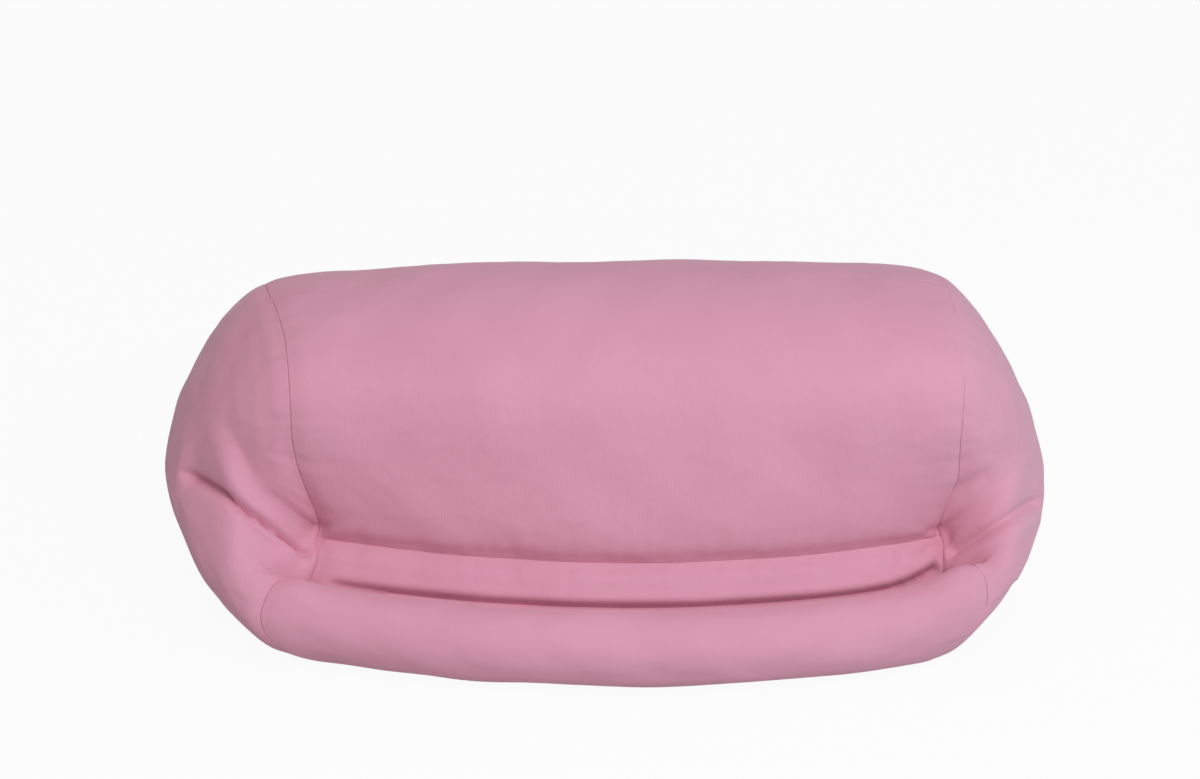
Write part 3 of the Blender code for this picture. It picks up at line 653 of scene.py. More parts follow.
    def _at_seam(self, side: int, v: Grid) -> Grid:
        """Points of one end seam at v, from its table."""
        table = self.seams[side].T
        return np.stack([np.interp(wrapped(v), self.fine, line) for line in table], axis=-1)

    def _closed_notch(self, side: int, along: Grid) -> Grid:
        """A cubic curve from the backrest's seam to the roll's top, along their own slopes."""
        begun, ended = self.notch_rows
        edges = np.array([begun, begun + self.notch_step, ended, ended - self.notch_step])
        first, then, last, before = self._at_seam(side, edges)
        chord = np.linalg.norm(last - first)
        lead = unit(then - first) * chord * self.notch_lead
        trail = unit(last - before) * chord * self.notch_trail
        rest = 1.0 - along
        over = first * rest**2 * (1.0 + 2.0 * along) + last * along**2 * (3.0 - 2.0 * along)
        return over + lead * along * rest**2 - trail * along**2 * rest

    def _sharp_dome(self, side: int, share: Grid, v: Grid) -> Grid:
        """Points of one end dome: its seam drawn towards the tip as the notch fills in.

        The ring at a share of the way keeps (1 - turn share - (1 - turn) share squared) to a
        power of its size.
        """
        end = self.ends[side]
        seam = self._at_seam(side, v)
        begun, ended = self.notch_rows
        past = wrapped(v) + np.where(wrapped(v) < 4.0, 8.0, 0.0)
        along = np.interp(past, (begun, 7.0, 8.0, 8.0 + ended), self.notch_stops)[..., None]
        inside = (along > 0.0) & (along < 1.0)
        closed = np.where(inside, self._closed_notch(side, along), seam)
        reach = np.interp(along[..., 0], self.notch_places, end.notch_reaches)
        filled = 1.0 - np.maximum(1.0 - share / reach, 0.0) ** 2
        ring = seam + (closed - seam) * filled[..., None]
        closing = np.maximum(1.0 - end.turn * share - (1.0 - end.turn) * share**2, 0.0)
        tip = np.array(end.tip)
        made = tip + (ring - tip) * (closing**end.power)[..., None]
        made[..., 0] = ring[..., 0] + (tip[0] - ring[..., 0]) * share
        return made

    def _dome(self, side: int, share: Grid, v: Grid) -> Grid:
        """An end dome whose creases soften away from the seam, by averaging along its rings."""
        runs = self.seam_runs[side]
        run = np.interp(wrapped(v), self.fine, runs)
        reach = self.dome_softening * smooth(share / self.softened_from)
        total = np.zeros((*share.shape, 3))
        steps = np.linspace(-1.8, 1.8, 9)
        weights = bell(steps, 1.0)
        for step, weight in zip(steps, weights / weights.sum()):
            near = np.interp(np.mod(run + step * reach, runs[-1]), runs, self.fine)
            total += weight * self._sharp_dome(side, share, near)
        return total

    def points(self, u: Grid, v: Grid) -> Grid:
        """Points of the skin.

        Args:
            u: places along the cushion, -2 to 2.
            v: places round its section, in turns of 8.

        Returns:
            An array of points with one more axis than u and v together.
        """
        u, v = np.broadcast_arrays(np.asarray(u, float), np.asarray(v, float))
        made = self._tube(np.clip(u, -1.0, 1.0), v)
        for side, past in ((0, -u - 1.0), (1, u - 1.0)):
            there = past > 0.0
            if there.any():
                made[there] = self._dome(side, np.minimum(past[there], 1.0), v[there])
        return made

    def from_end(self, points: Grid, u: Grid, v: Grid) -> Grid:
        """How far points at u and v lie from the seam of their own end."""
        return length(points - self.points(np.where(u < 0.0, -1.0, 1.0), v))

    def from_row(self, points: Grid, u: Grid, row: float) -> Grid:
        """How far points at u lie from a row of the tube."""
        held = np.clip(u, -1.0, 1.0)
        return length(points - self.points(held, np.full_like(held, row)))

    def normals(self, u: Grid, v: Grid) -> Grid:
        """Outward unit normals: the step round the section crossed with the step along."""
        u, v = np.broadcast_arrays(np.asarray(u, float), np.asarray(v, float))
        far, near = self.normal_steps
        run = self.run_at(v)
        along = self.points(np.minimum(u + far, 2.0), v) - self.points(np.maximum(u - far, -2.0), v)
        around = self.points(u, self.row_at(run + near)) - self.points(u, self.row_at(run - near))
        made = unit(np.cross(around, along))
        tip = np.abs(u) > 1.999
        made[tip] = np.stack([np.sign(u[tip]), 0.0 * u[tip], 0.0 * u[tip]], axis=-1)
        return made


# ---- Relief: seams, puckers, folds ----


@dataclass(frozen=True)
class Fold:
    """A crease in the cloth along a line of points.

    The height across it is a valley that rises exponentially, over near on one side and over
    far on the other, with its crease rounded over soft, a slit along it and a ridge beside it.
    It deepens along the line as the share run to the power of growth, and tapers in and out.
    It fades over through along the normal, and over past_ends beyond the line's ends.
    """

    path: tuple[Point, ...]
    depth: float
    near: float
    far: float
    ridge: float = 0.0
    ridge_at: float = 0.006
    soft: float = 0.0012
    growth: float = 0.0
    slit: float = 0.0
    slit_width: float = 0.0013
    taper_in: float = 0.15
    taper_out: float = 0.15
    through: float = 0.016
    past_ends: float = 0.004

    def height(self, points: Grid, normals: Grid) -> Grid:
        """The fold's height at points of the skin, measured in the skin's own plane."""
        path = np.array(self.path)
        runs = travelled(path)
        nearest = [np.full(points.shape[:-1], np.inf), *np.zeros((4, *points.shape[:-1]))]
        for start, end, run in zip(path[:-1], path[1:], runs[:-1]):
            reach = np.linalg.norm(end - start)
            way = (end - start) / reach
            along = (points - start) @ way
            held = np.clip(along, 0.0, reach)
            gap = points - (start + held[..., None] * way)
            found = (
                length(gap), np.sum(gap * unit(np.cross(way, normals)), axis=-1), run + held,
                np.abs(along - held), np.sum(gap * normals, axis=-1),
            )
            nearer = found[0] < nearest[0]
            nearest = [np.where(nearer, new, old) for new, old in zip(found, nearest)]
        _, side, place, missed, off = nearest
        share = place / runs[-1]
        strength = smooth(share / self.taper_in) * smooth((1.0 - share) / self.taper_out)
        strength = strength * np.maximum(share, 1e-6) ** self.growth
        strength = strength * bell(off, self.through) * bell(missed, self.past_ends)
        away = np.sqrt(side**2 + self.soft**2) - self.soft
        valley = np.exp(-away / np.where(side > 0.0, self.near, self.far))
        ridge = bell(side - self.ridge_at, abs(self.ridge_at) * 0.75)
        slit = self.slit * bell(side, self.slit_width)
        return strength * (self.ridge * ridge - self.depth * valley - slit)


LIP_PATH = (
    (-0.1175, -0.0450, 0.0237), (-0.1126, -0.0466, 0.0235), (-0.1050, -0.0489, 0.0234),
    (-0.0936, -0.0520, 0.0232), (-0.0764, -0.0558, 0.0232), (-0.0534, -0.0598, 0.0232),
    (-0.0265, -0.0627, 0.0231), (0.0008, -0.0636, 0.0231), (0.0285, -0.0625, 0.0230),
    (0.0566, -0.0592, 0.0230), (0.0771, -0.0555, 0.0229), (0.0937, -0.0516, 0.0228),
    (0.1063, -0.0479, 0.0233), (0.1148, -0.0450, 0.0243), (0.1215, -0.0418, 0.0262),
    (0.1285, -0.0380, 0.0290),
)
FOLDS = (
    # Left dome: the deep valley from the notch to the outline, and the softer folds above it
    Fold(
        path=((-0.1740, -0.0137, 0.0556), (-0.1676, -0.0248, 0.0576), (-0.1600, -0.0344, 0.0580),
              (-0.1529, -0.0403, 0.0564), (-0.1460, -0.0423, 0.0532), (-0.1381, -0.0422, 0.0484),
              (-0.1301, -0.0410, 0.0421), (-0.1239, -0.0401, 0.0363), (-0.1198, -0.0395, 0.0321)),
        depth=0.0052, near=0.0060, far=0.0060, soft=0.0008, growth=0.06, slit=0.0036,
        slit_width=0.0019, taper_in=0.12, taper_out=0.05,
    ),
    Fold(
        path=((-0.1598, -0.0179, 0.0871), (-0.1535, -0.0291, 0.0779), (-0.1465, -0.0352, 0.0655),
              (-0.1409, -0.0376, 0.0577), (-0.1345, -0.0370, 0.0526), (-0.1280, -0.0369, 0.0451),
              (-0.1215, -0.0385, 0.0355)),
        depth=0.0026, near=0.0036, far=0.0062, ridge=0.0016, ridge_at=0.007, soft=0.0020,
        taper_in=0.40, taper_out=0.05,
    ),
    Fold(
        path=((-0.1502, -0.0437, 0.0518), (-0.1444, -0.0445, 0.0487), (-0.1385, -0.0444, 0.0447),
              (-0.1329, -0.0436, 0.0404), (-0.1276, -0.0426, 0.0364)),
        depth=0.0022, near=0.0026, far=0.0030, slit=0.0012, slit_width=0.0016, taper_in=0.5,
        taper_out=0.3,
    ),
    # Right dome: the sharp crease that the lower cloth laps, and a faint fold above it
    Fold(
        path=((0.1734, -0.0141, 0.0472), (0.1623, -0.0315, 0.0519), (0.1515, -0.0411, 0.0516),
              (0.1439, -0.0418, 0.0470), (0.1375, -0.0401, 0.0416), (0.1329, -0.0378, 0.0367),
              (0.1293, -0.0358, 0.0320)),
        depth=0.0030, near=0.0070, far=0.0029, ridge=0.0010, ridge_at=-0.006, slit=0.0017,
        slit_width=0.0021, taper_in=0.20, taper_out=0.05,
    ),
    Fold(
        path=((0.1508, -0.0304, 0.0692), (0.1438, -0.0332, 0.0666), (0.1380, -0.0340, 0.0629),
              (0.1326, -0.0339, 0.0575), (0.1280, -0.0338, 0.0516)),
        depth=0.0013, near=0.0034, far=0.0044, ridge=0.0006, ridge_at=0.005, soft=0.002,
        taper_in=0.4, taper_out=0.4,
    ),
    # The ledge's lip over the roll, and the gap that opens under it at the right end
    Fold(
        path=LIP_PATH, depth=0.0030, near=0.0060, far=0.0013, ridge=0.0010, ridge_at=-0.0035,
        soft=0.0006, growth=0.20, slit=0.0016, slit_width=0.0016, taper_in=0.03, taper_out=0.02,
    ),
    Fold(
        path=LIP_PATH[-4:], depth=0.0016, near=0.0040, far=0.0016, slit=0.0012, slit_width=0.0020,
        taper_in=0.5, taper_out=0.10,
    ),
    # Wrinkles in the ledge at the notch's right end
    Fold(
        path=((0.1033, -0.0463, 0.0282), (0.1064, -0.0420, 0.0325), (0.1110, -0.0369, 0.0361)),
        depth=0.0008, near=0.0018, far=0.0024, ridge=0.0006, ridge_at=0.004, taper_in=0.3,
        taper_out=0.3,
    ),
    Fold(
        path=((0.1128, -0.0401, 0.0325), (0.1204, -0.0340, 0.0359), (0.1273, -0.0318, 0.0424)),
        depth=0.0009, near=0.0018, far=0.0024, ridge=0.0006, ridge_at=0.004, taper_in=0.3,
        taper_out=0.2,
    ),
)


@dataclass(frozen=True)
class Waves:
    """Sines along one way, at these wavelengths, each out of step with the last."""

    lengths: tuple[float, ...]
    way: Point = (1.0, 0.0, 0.0)
    turn: float = 0.0

    def along(self, place: Grid, turn: float | None = None) -> Grid:
        """The sum at distances along the way."""
        start = self.turn if turn is None else turn
        total = np.zeros_like(place)
        for number, wavelength in enumerate(self.lengths):
            wave = np.sin(place * (math.tau / wavelength) + start + 1.7 * number)
            total += wave / (1.0 + 0.4 * number)
        return total

    def at(self, points: Grid) -> Grid:
        """The sum at points in space."""
        return self.along(points @ np.array(self.way))


PUCKERS = Waves((0.0117, 0.0073, 0.0191, 0.0310))
LUMPS = (
    Waves((0.083, 0.047), (1.0, 0.0, 0.6), 0.4),
    Waves((0.061, 0.039), (0.0, 1.0, -0.8), 1.9),
    Waves((0.055, 0.029), (0.7, -1.0, 1.0), 3.3),
)


@dataclass
class Relief:
    """The heights laid on the skin."""

    skin: Skin
    seam_dip: float = 0.0009
    dip_width: float = 0.0040
    sewn_rows: tuple[Row, ...] = (Row.GROOVE, Row.WEB, Row.CREASE)
    row_dips: tuple[float, ...] = (0.0024, 0.0007, 0.0014)
    row_widths: tuple[float, ...] = (0.0026, 0.0034, 0.0040)
    row_fade: float = 0.006
    pucker: float = 0.00015
    pucker_start: float = 0.0012
    pucker_fade: float = 0.0085
    unevenness: float = 0.00018
    settling: float = 0.0045
    settled_rows: tuple[float, float] = (6.42, 7.02)
    settled_at_seam: float = 0.4
    settled_from: float = 0.75
    settled_fade: float = 0.014
    folds: tuple[Fold, ...] = FOLDS
    swelling: Callable[[Grid, Grid], Grid] | None = None

    def gather(self, distance: Grid, place: Grid, turn: float, deep: float, wide: float) -> Grid:
        """A seam's dip, and the puckers that its stitches draw beside it."""
        drawn = np.exp(-distance / self.pucker_fade) * (1.0 - np.exp(-distance / self.pucker_start))
        return self.pucker * drawn * PUCKERS.along(place, turn) - deep * bell(distance, wide)

    def settled(self, u: Grid, v: Grid) -> Grid:
        """How far the backrest's beads have settled, which flattens it: 1 at its middle."""
        start, end = self.settled_rows
        part = np.clip((wrapped(v) - start) / (end - start), 0.0, 1.0)
        to_seam = smooth((np.abs(u) - self.settled_from) / (1.0 - self.settled_from))
        to_seam = (1.0 - self.settled_at_seam) * to_seam
        return (1.0 - (2.0 * part - 1.0) ** 2) ** 2 * (1.0 - to_seam)

    def height(self, u: Grid, v: Grid, points: Grid, normals: Grid) -> Grid:
        """Height above the skin.

        Args:
            u: places along the cushion.
            v: places round its section.
            points: the skin's points there.
            normals: its normals there.

        Returns:
            The height at each point, the same for both panels at a seam.
        """
        u, v = np.broadcast_arrays(np.asarray(u, float), np.asarray(v, float))
        from_end = self.skin.from_end(points, u, v)
        on_dome = np.abs(u) > 1.0
        run = self.skin.run_at(v) + np.where(u < 0.0, -0.1, 0.1)
        total = self.gather(from_end, run, 0.6, self.seam_dip, self.dip_width)
        near = self.skin.points(np.clip(u, -1.0, 1.0), v) if on_dome.any() else points
        fade = np.where(on_dome, bell(from_end, self.row_fade), 1.0)
        sewn = zip(self.sewn_rows, self.row_dips, self.row_widths)
        for number, (row, deep, wide) in enumerate(sewn):
            distance = self.skin.from_row(near, u, row)
            total += fade * self.gather(distance, near[..., 0], 2.1 * number, deep, wide)
        total += self.unevenness * sum(waves.at(points) for waves in LUMPS)
        fade = np.where(on_dome, bell(from_end, self.settled_fade), 1.0)
        total -= self.settling * self.settled(u, v) * fade
        for fold in self.folds:
            total += fold.height(points, normals)
        if self.swelling is not None:
            total += self.swelling(u, v)
        return total


# ---- Meshes ----


class Body(str, Enum):
    """The bodies that pieces ride on."""

    CUSHION = "cushion"
    SLIDER = "slider"
    TAB = "pull_tab"


class Slot(str, Enum):
    """The record's material slots."""

    COVER = "cover_fabric"
    LINER = "liner_fabric"
    TAPE = "zip_tape"
    METAL = "zip_metal"


@dataclass
class Shape:
    """A mesh being gathered: points, faces of three or four corners, and a flat map."""

    points: Grid
    quads: Grid = field(default_factory=lambda: np.zeros((0, 4), int))
    triangles: Grid = field(default_factory=lambda: np.zeros((0, 3), int))
    flat: Grid | None = None

    def piece(self, name: str, finish: Finish, sharp_deg: float = 60.0) -> Thing:
        """Make the object, with smooth shading and its flat map.

        Args:
            name: the piece's name.
            finish: its material.
            sharp_deg: faces that meet at more than this keep a sharp edge.

        Returns:
            The object, linked to the scene.
        """
        mesh = bpy.data.meshes.new(name)
        faces = self.quads.tolist() + self.triangles.tolist()
        mesh.from_pydata(self.points.tolist(), [], faces)
        if self.flat is not None:
            corners = np.zeros(len(mesh.loops), np.int32)
            mesh.loops.foreach_get("vertex_index", corners)
            layer = mesh.uv_layers.new(name="UVMap")
            layer.uv.foreach_set("vector", self.flat[corners].astype(np.float32).ravel())
        mesh.materials.append(finish)
        mesh.shade_smooth()
        mesh.set_sharp_from_angle(angle=math.radians(sharp_deg))
        mesh.validate()
        thing = bpy.data.objects.new(name, mesh)
        bpy.context.scene.collection.objects.link(thing)
        return thing


def joined(shapes: Sequence[Shape]) -> Shape:
    """Several mapped shapes as one."""
    counts = np.cumsum([0] + [len(shape.points) for shape in shapes])
    return Shape(
        np.concatenate([shape.points for shape in shapes]),
        np.concatenate([shape.quads + start for shape, start in zip(shapes, counts)]),
        np.concatenate([shape.triangles + start for shape, start in zip(shapes, counts)]),
        np.concatenate([shape.flat for shape in shapes]),
    )


def grid_quads(columns: int, rows: int, wrap: bool, start: int = 0) -> Grid:
    """The quads of a grid numbered column by column; a wrapped one closes round its rows."""
    across = np.arange(columns - 1)[:, None]
    down = np.arange(rows if wrap else rows - 1)[None, :]
    here = start + across * rows + down
    below = start + across * rows + (down + 1) % rows
    return np.stack([here, below, below + rows, here + rows], axis=-1).reshape(-1, 4)


def wall(one: Grid, other: Grid) -> Grid:
    """Quads between two lines of vertex numbers."""
    return np.stack([one[:-1], other[:-1], other[1:], one[1:]], axis=-1)


def sheet_shape(outer: Grid, inner: Grid, flat: Grid) -> Shape:
    """A closed sheet of cloth between two grids of points.

    Args:
        outer: columns by rows of points on the outside.
        inner: the same on the inside.
        flat: each grid point's place on the flat cloth, in metres.

    Returns:
        The outer grid's quads, the inner one's turned over, and a wall along each edge.
    """
    columns, rows = outer.shape[:2]
    count = columns * rows
    top = np.arange(count).reshape(columns, rows)
    below = top + count
    quads = [
        grid_quads(columns, rows, False), grid_quads(columns, rows, False, count)[:, ::-1],
        wall(top[0], below[0]), wall(below[-1], top[-1]),
        wall(below[:, 0], top[:, 0]), wall(top[:, -1], below[:, -1]),
    ]
    points = np.concatenate([outer.reshape(-1, 3), inner.reshape(-1, 3)])
    return Shape(points, np.concatenate(quads), flat=np.concatenate([flat.reshape(-1, 2)] * 2))


def closed_grid(grid: Grid, flat: Grid) -> Shape:
    """A closed form from a grid whose rows wrap and whose first and last columns are poles."""
    columns, rows = grid.shape[:2]
    inside = grid[1:-1]
    count = (columns - 2) * rows
    numbers = np.arange(count).reshape(columns - 2, rows)
    points = np.concatenate([inside.reshape(-1, 3), grid[0, :1], grid[-1, :1]])
    places = np.concatenate([flat[1:-1].reshape(-1, 2), flat[0, :1], flat[-1, :1]])
    first, last = numbers[0], numbers[-1]
    left = np.stack([np.full_like(first, count), np.roll(first, -1), first], axis=-1)
    right = np.stack([last, np.roll(last, -1), np.full_like(last, count + 1)], axis=-1)
    quads = grid_quads(columns - 2, rows, True)
    return Shape(points, quads, np.concatenate([left, right]), places)


def draw_together(grid: Grid, poles: Sequence[int] = (0, -1)) -> None:
    """Move each pole's column of points to its middle."""
    for pole in poles:
        grid[pole] = grid[pole].mean(axis=0)


def dressed(thing: Thing, body: Body, nodes: Sequence[str] = ()) -> Thing:
    """Let a piece ride on a body, stand for CAD nodes, and report it."""
    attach(thing, body.value)
    if nodes:
        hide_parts(*nodes)
    LOG.info("%s: %d faces, on %s", thing.name, len(thing.data.polygons), body.value)
    return thing


def padded_piece(
    shape: Shape,
    name: str,
    finish: Finish,
    sharp_deg: float,
    node: str,
) -> Thing:
    """Make a filled piece that rides on the cushion and stands for a CAD node.

    Args:
        shape: its mesh.
        name: its name.
        finish: its material.
        sharp_deg: faces that meet at more than this keep a sharp edge.
        node: the CAD node.

    Returns:
        The piece.
    """
    thing = dressed(shape.piece(name, finish, sharp_deg), Body.CUSHION, [node])
    return thing


# ---- The filled cover's swelling ----


@dataclass
class Swelling:
    """How the cover swells between its seams, from a cloth simulation on a coarse copy.

    The copy is a closed grid of the skin. It is blown up with its seams and its foot held, and
    what each point has moved along its normal is capped, kept, and read back with cubic
    B-splines.
    """

    skin: Skin
    tube_columns: int = 81
    dome_columns: int = 15
    rows: int = 150
    pressure: float = 4.0
    frames: int = 20
    limit: float = 0.0013
    gain: float = 0.5
    foot: float = 0.006
    held_rows: tuple[Row, ...] = (Row.GROOVE, Row.WEB, Row.ZIP_LINE, Row.CREASE)

    def __post_init__(self) -> None:
        """Places of the grid, and its kept movement."""
        dome = np.linspace(0.0, 1.0, self.dome_columns)[1:]
        tube = np.linspace(-1.0, 1.0, self.tube_columns)
        self.u = np.concatenate([-1.0 - dome[::-1], tube, 1.0 + dome])
        self.v = self.skin.row_at(np.arange(self.rows) * self.skin.around / self.rows)
        self.moved = self.blown()

    def sewn(self, points: Grid) -> Grid:
        """True for points of the grid that seams or the floor hold."""
        held = (np.abs(np.abs(self.u) - 1.0) < 1e-9)[:, None] | (points[..., 2] < self.foot)
        on_tube = (np.abs(self.u) <= 1.0)[:, None]
        for row in self.held_rows:
            number = int(np.argmin(np.abs(wrapped(self.v - row + 4.0) - 4.0)))
            held = held | (on_tube & (np.arange(self.rows) == number))
        return held

    def cloth(self, thing: Thing, held: Grid) -> None:
        """Put the cloth modifier on the copy, with its held points pinned."""
        group = thing.vertex_groups.new(name="sewn")
        group.add(np.flatnonzero(held).tolist(), 1.0, "REPLACE")
        cloth = thing.modifiers.new("cloth", "CLOTH")
        settings = {
            "quality": 5, "mass": 0.0003, "air_damping": 1.0, "tension_stiffness": 0.8,
            "compression_stiffness": 0.5, "shear_stiffness": 0.4, "bending_stiffness": 0.004,
            "use_pressure": True, "uniform_pressure_force": self.pressure,
            "vertex_group_mass": group.name,
        }
        for name, value in settings.items():
            setattr(cloth.settings, name, value)
        cloth.settings.effector_weights.gravity = 0.0
        cloth.collision_settings.use_collision = False
        cloth.point_cache.frame_end = self.frames

    def blown(self) -> Grid:
        """Run the cloth and return what each point moved outward, capped."""
        u, v = np.broadcast_arrays(self.u[:, None], self.v[None, :])
        points = self.skin.points(u, v)
        normals = self.skin.normals(u, v)
        draw_together(points)
        shape = closed_grid(points, np.zeros((*u.shape, 2)))
        thing = shape.piece("swelling_copy", bpy.data.materials.new("swelling_copy"))
        self.cloth(thing, self.sewn(points)[1:-1].ravel())
        for number in range(1, self.frames + 1):
            bpy.context.scene.frame_set(number)
        seen = thing.evaluated_get(bpy.context.evaluated_depsgraph_get())
        after = np.zeros(len(seen.data.vertices) * 3, np.float32)
        seen.data.vertices.foreach_get("co", after)
        inside = after.reshape(-1, 3)[:-2].reshape(len(self.u) - 2, self.rows, 3)
        moved = np.zeros(u.shape)
        moved[1:-1] = np.sum((inside - points[1:-1]) * normals[1:-1], axis=-1)
        for pole, beside in ((0, 1), (-1, -2)):
            moved[pole] = moved[beside].mean()
        LOG.info("swelling: %.1f to %.1f mm before the cap", moved.min() * 1e3, moved.max() * 1e3)
        bpy.data.objects.remove(thing, do_unlink=True)
        bpy.context.scene.frame_set(1)
        return self.limit * np.tanh(moved * self.gain / self.limit)

    @staticmethod
    def spline(part: Grid) -> tuple[Grid, Grid, Grid, Grid]:
        """The cubic B-spline's four weights at a part of the way from one place to the next."""
        rest = 1.0 - part
        return (
            rest**3 / 6.0, (3.0 * part**3 - 6.0 * part**2 + 4.0) / 6.0,
            (3.0 * rest**3 - 6.0 * rest**2 + 4.0) / 6.0, part**3 / 6.0,
        )

    def __call__(self, u: Grid, v: Grid) -> Grid:
        """The movement at places of the skin."""
        u, v = np.broadcast_arrays(u, v)
        column = np.interp(u, self.u, np.arange(len(self.u), dtype=float))
        row = self.skin.run_at(wrapped(v)) * (self.rows / self.skin.around)
        first, start = np.floor(column).astype(int), np.floor(row).astype(int)
        total = np.zeros(column.shape)
        for across, weight in enumerate(self.spline(column - first)):
            number = np.clip(first + across - 1, 0, len(self.u) - 1)
            for down, share in enumerate(self.spline(row - start)):
                total += weight * share * self.moved[number, np.mod(start + down - 1, self.rows)]
        return total


# ---- The cover ----


SLOT_HALF = 0.098
SLOT_OPEN = 0.0050
LOWEST = 0.0001


@dataclass
class Cover:
    """The six sewn panels of the cover."""

    skin: Skin
    relief: Relief
    cloth: float = 0.00115
    thinnest: float = 0.0001
    roll_in: float = 0.0006
    spacing: float = 0.0012
    seam_gap: float = 0.00004
    slot_taper: float = 0.0022
    slot_edge: float = 0.0006
    slot_columns: int = 8
    dome_rings: int = 72
    dome_reach: float = 0.050
    dome_crowding: float = 1.35
    sharp_deg: float = 75.0
    fill: float = 0.85
    slot_blend: tuple[float, float] = (0.1, 0.9)

    @cached_property
    def edge_places(self) -> tuple[float, ...]:
        """Places near a sewn edge: close together where the cloth rolls in."""
        turns = self.roll_in * (1.0 - np.cos(np.radians((0.0, 18.0, 36.0, 54.0, 72.0, 90.0))))
        return (*turns, 0.0013, 0.0018, 0.0025, 0.0035, 0.0047)

    def columns(self) -> Grid:
        """Places along the tube, close together at its end seams and at the zip's slot ends."""
        places = graded(2.0 * self.skin.seam_x, self.spacing, self.edge_places)
        u = places / self.skin.seam_x - 1.0
        extra = np.linspace(SLOT_HALF - 0.0004, SLOT_HALF + self.slot_taper, self.slot_columns)
        extra = extra / self.skin.seam_x
        u = u[np.abs(np.abs(u) - extra.mean()) > (extra[-1] - extra[0]) / 2 + 0.002]
        return np.sort(np.concatenate([u, extra, -extra]))

    def rolled(self, distance: Grid) -> Grid:
        """How far the cloth has turned in at this distance from a seam: a quarter circle."""
        past = np.clip(self.roll_in - (distance - self.seam_gap), 0.0, self.roll_in)
        return self.roll_in - np.sqrt(np.maximum(self.roll_in**2 - past**2, 0.0))

    def slot_rows(self, u: Grid) -> Grid:
        """How far the slot's edge stands from the zip's line at u, as a step of v."""
        x = np.abs(u) * self.skin.seam_x
        opened = smooth((SLOT_HALF + self.slot_taper - x) / self.slot_taper)
        return 0.5 * (self.seam_gap + (SLOT_OPEN - self.seam_gap) * opened) / self.skin.strip_half

    def patch(self, u: Grid, v: Grid, drop: Grid) -> tuple[Grid, Grid]:
        """A patch's outer and inner points.

        Args:
            u: places along, as columns by rows.
            v: places round, the same.
            drop: how far the outer face lies under the skin.

        Returns:
            The outer and the inner points.
        """
        points = self.skin.points(u, v)
        normals = self.skin.normals(u, v)
        height = self.relief.height(u, v, points, normals)
        outer = points + normals * (height - drop)[..., None]
        inner = points + normals * (height - self.cloth)[..., None]
        outer[..., 2] = np.maximum(outer[..., 2], LOWEST)
        inner[..., 2] = np.maximum(inner[..., 2], 4.0 * LOWEST)
        return outer, inner

    def covered(self, shape: Shape, node: str, finish: Finish) -> Thing:
        """A panel's piece, named after its node."""
        name = "cover_" + node
        return padded_piece(shape, name, finish, self.sharp_deg, node)

    def panel(self, name: str, rows: tuple[Row, Row], finish: Finish) -> Thing:
        """One panel of the tube, between two rows of the section.

        Args:
            name: the CAD node that it stands for; the piece's name is this with "cover_".
            rows: where it starts and ends.
            finish: its material.

        Returns:
            The piece.
        """
        start = float(self.skin.run_at(np.float64(rows[0])))
        end = float(self.skin.run_at(np.float64(rows[1] - 1e-6)))
        places = graded(end - start, self.spacing, self.edge_places)
        u = self.columns()[:, None]
        v = self.skin.row_at(np.clip(start + places, start, end - 1e-7))[None, :]
        v = np.where(v < rows[0] - 1e-6, rows[0], v)
        u, v = (part.copy() for part in np.broadcast_arrays(u, v))
        if Row.ZIP_LINE in rows:
            upward = 1.0 if rows[0] == Row.ZIP_LINE else -1.0
            begun, run = self.slot_blend
            far = (np.abs(v - Row.ZIP_LINE) - begun) / run
            v += upward * self.slot_rows(u) * (1.0 - smooth(far))
        bare = self.skin.points(u, v)
        drop = self.rolled(self.skin.from_end(bare, u, v))
        for number, row in ((0, rows[0]), (-1, rows[1])):
            part = self.rolled(length(bare - bare[:, number, None]))
            if row == Row.ZIP_LINE:
                part = part * (self.slot_edge / self.roll_in)
            drop = np.minimum(drop + part, self.cloth - self.thinnest)
        outer, inner = self.patch(u, v, drop)
        flat = np.stack([outer[..., 0], self.skin.run_at(v)], axis=-1)
        return self.covered(sheet_shape(outer, inner, flat), name, finish)

    def end_panel(self, name: str, side: int, finish: Finish) -> Thing:
        """The domed panel at one end, with one point at its pole.

        Args:
            name: the CAD node that it stands for.
            side: 0 on the left, 1 on the right.
            finish: its material.

        Returns:
            The piece.
        """
        sign = 1.0 if side else -1.0
        near = np.array(self.edge_places) / self.dome_reach
        rest = 1.0 - (1.0 - np.linspace(0.0, 1.0, self.dome_rings)) ** self.dome_crowding
        share = np.concatenate([near, near[-1] + (1.0 - near[-1]) * rest[1:]])
        runs = self.skin.seam_runs[side]
        count = int(runs[-1] / self.spacing)
        v = np.interp(np.linspace(0.0, runs[-1], count, endpoint=False), runs, self.skin.fine)
        inward = slice(None) if side else slice(None, None, -1)
        u, v = np.broadcast_arrays(sign * (1.0 + share[inward])[:, None], v[None, :])
        seam = self.skin.points(np.full_like(v, sign), v)
        drop = self.rolled(length(self.skin.points(u, v) - seam))
        outer, inner = self.patch(u, v, np.minimum(drop, self.cloth - self.thinnest))
        pole = -1 if side else 0
        for grid in (outer, inner):
            draw_together(grid, [pole])
        from_tip = slice(None, None, -1) if side else slice(None)
        radius = travelled(outer[from_tip])[from_tip]
        tip = outer[pole, 0]
        around = np.arctan2(seam[..., 2] - tip[2], seam[..., 1] - tip[1])
        flat = radius[..., None] * np.stack([np.cos(around), np.sin(around)], axis=-1)
        grid, places = (
            np.concatenate([under[::-1], over] if side else [over, under[::-1]])
            for over, under in ((outer, inner), (flat, flat))
        )
        return self.covered(closed_grid(grid, places), name, finish)

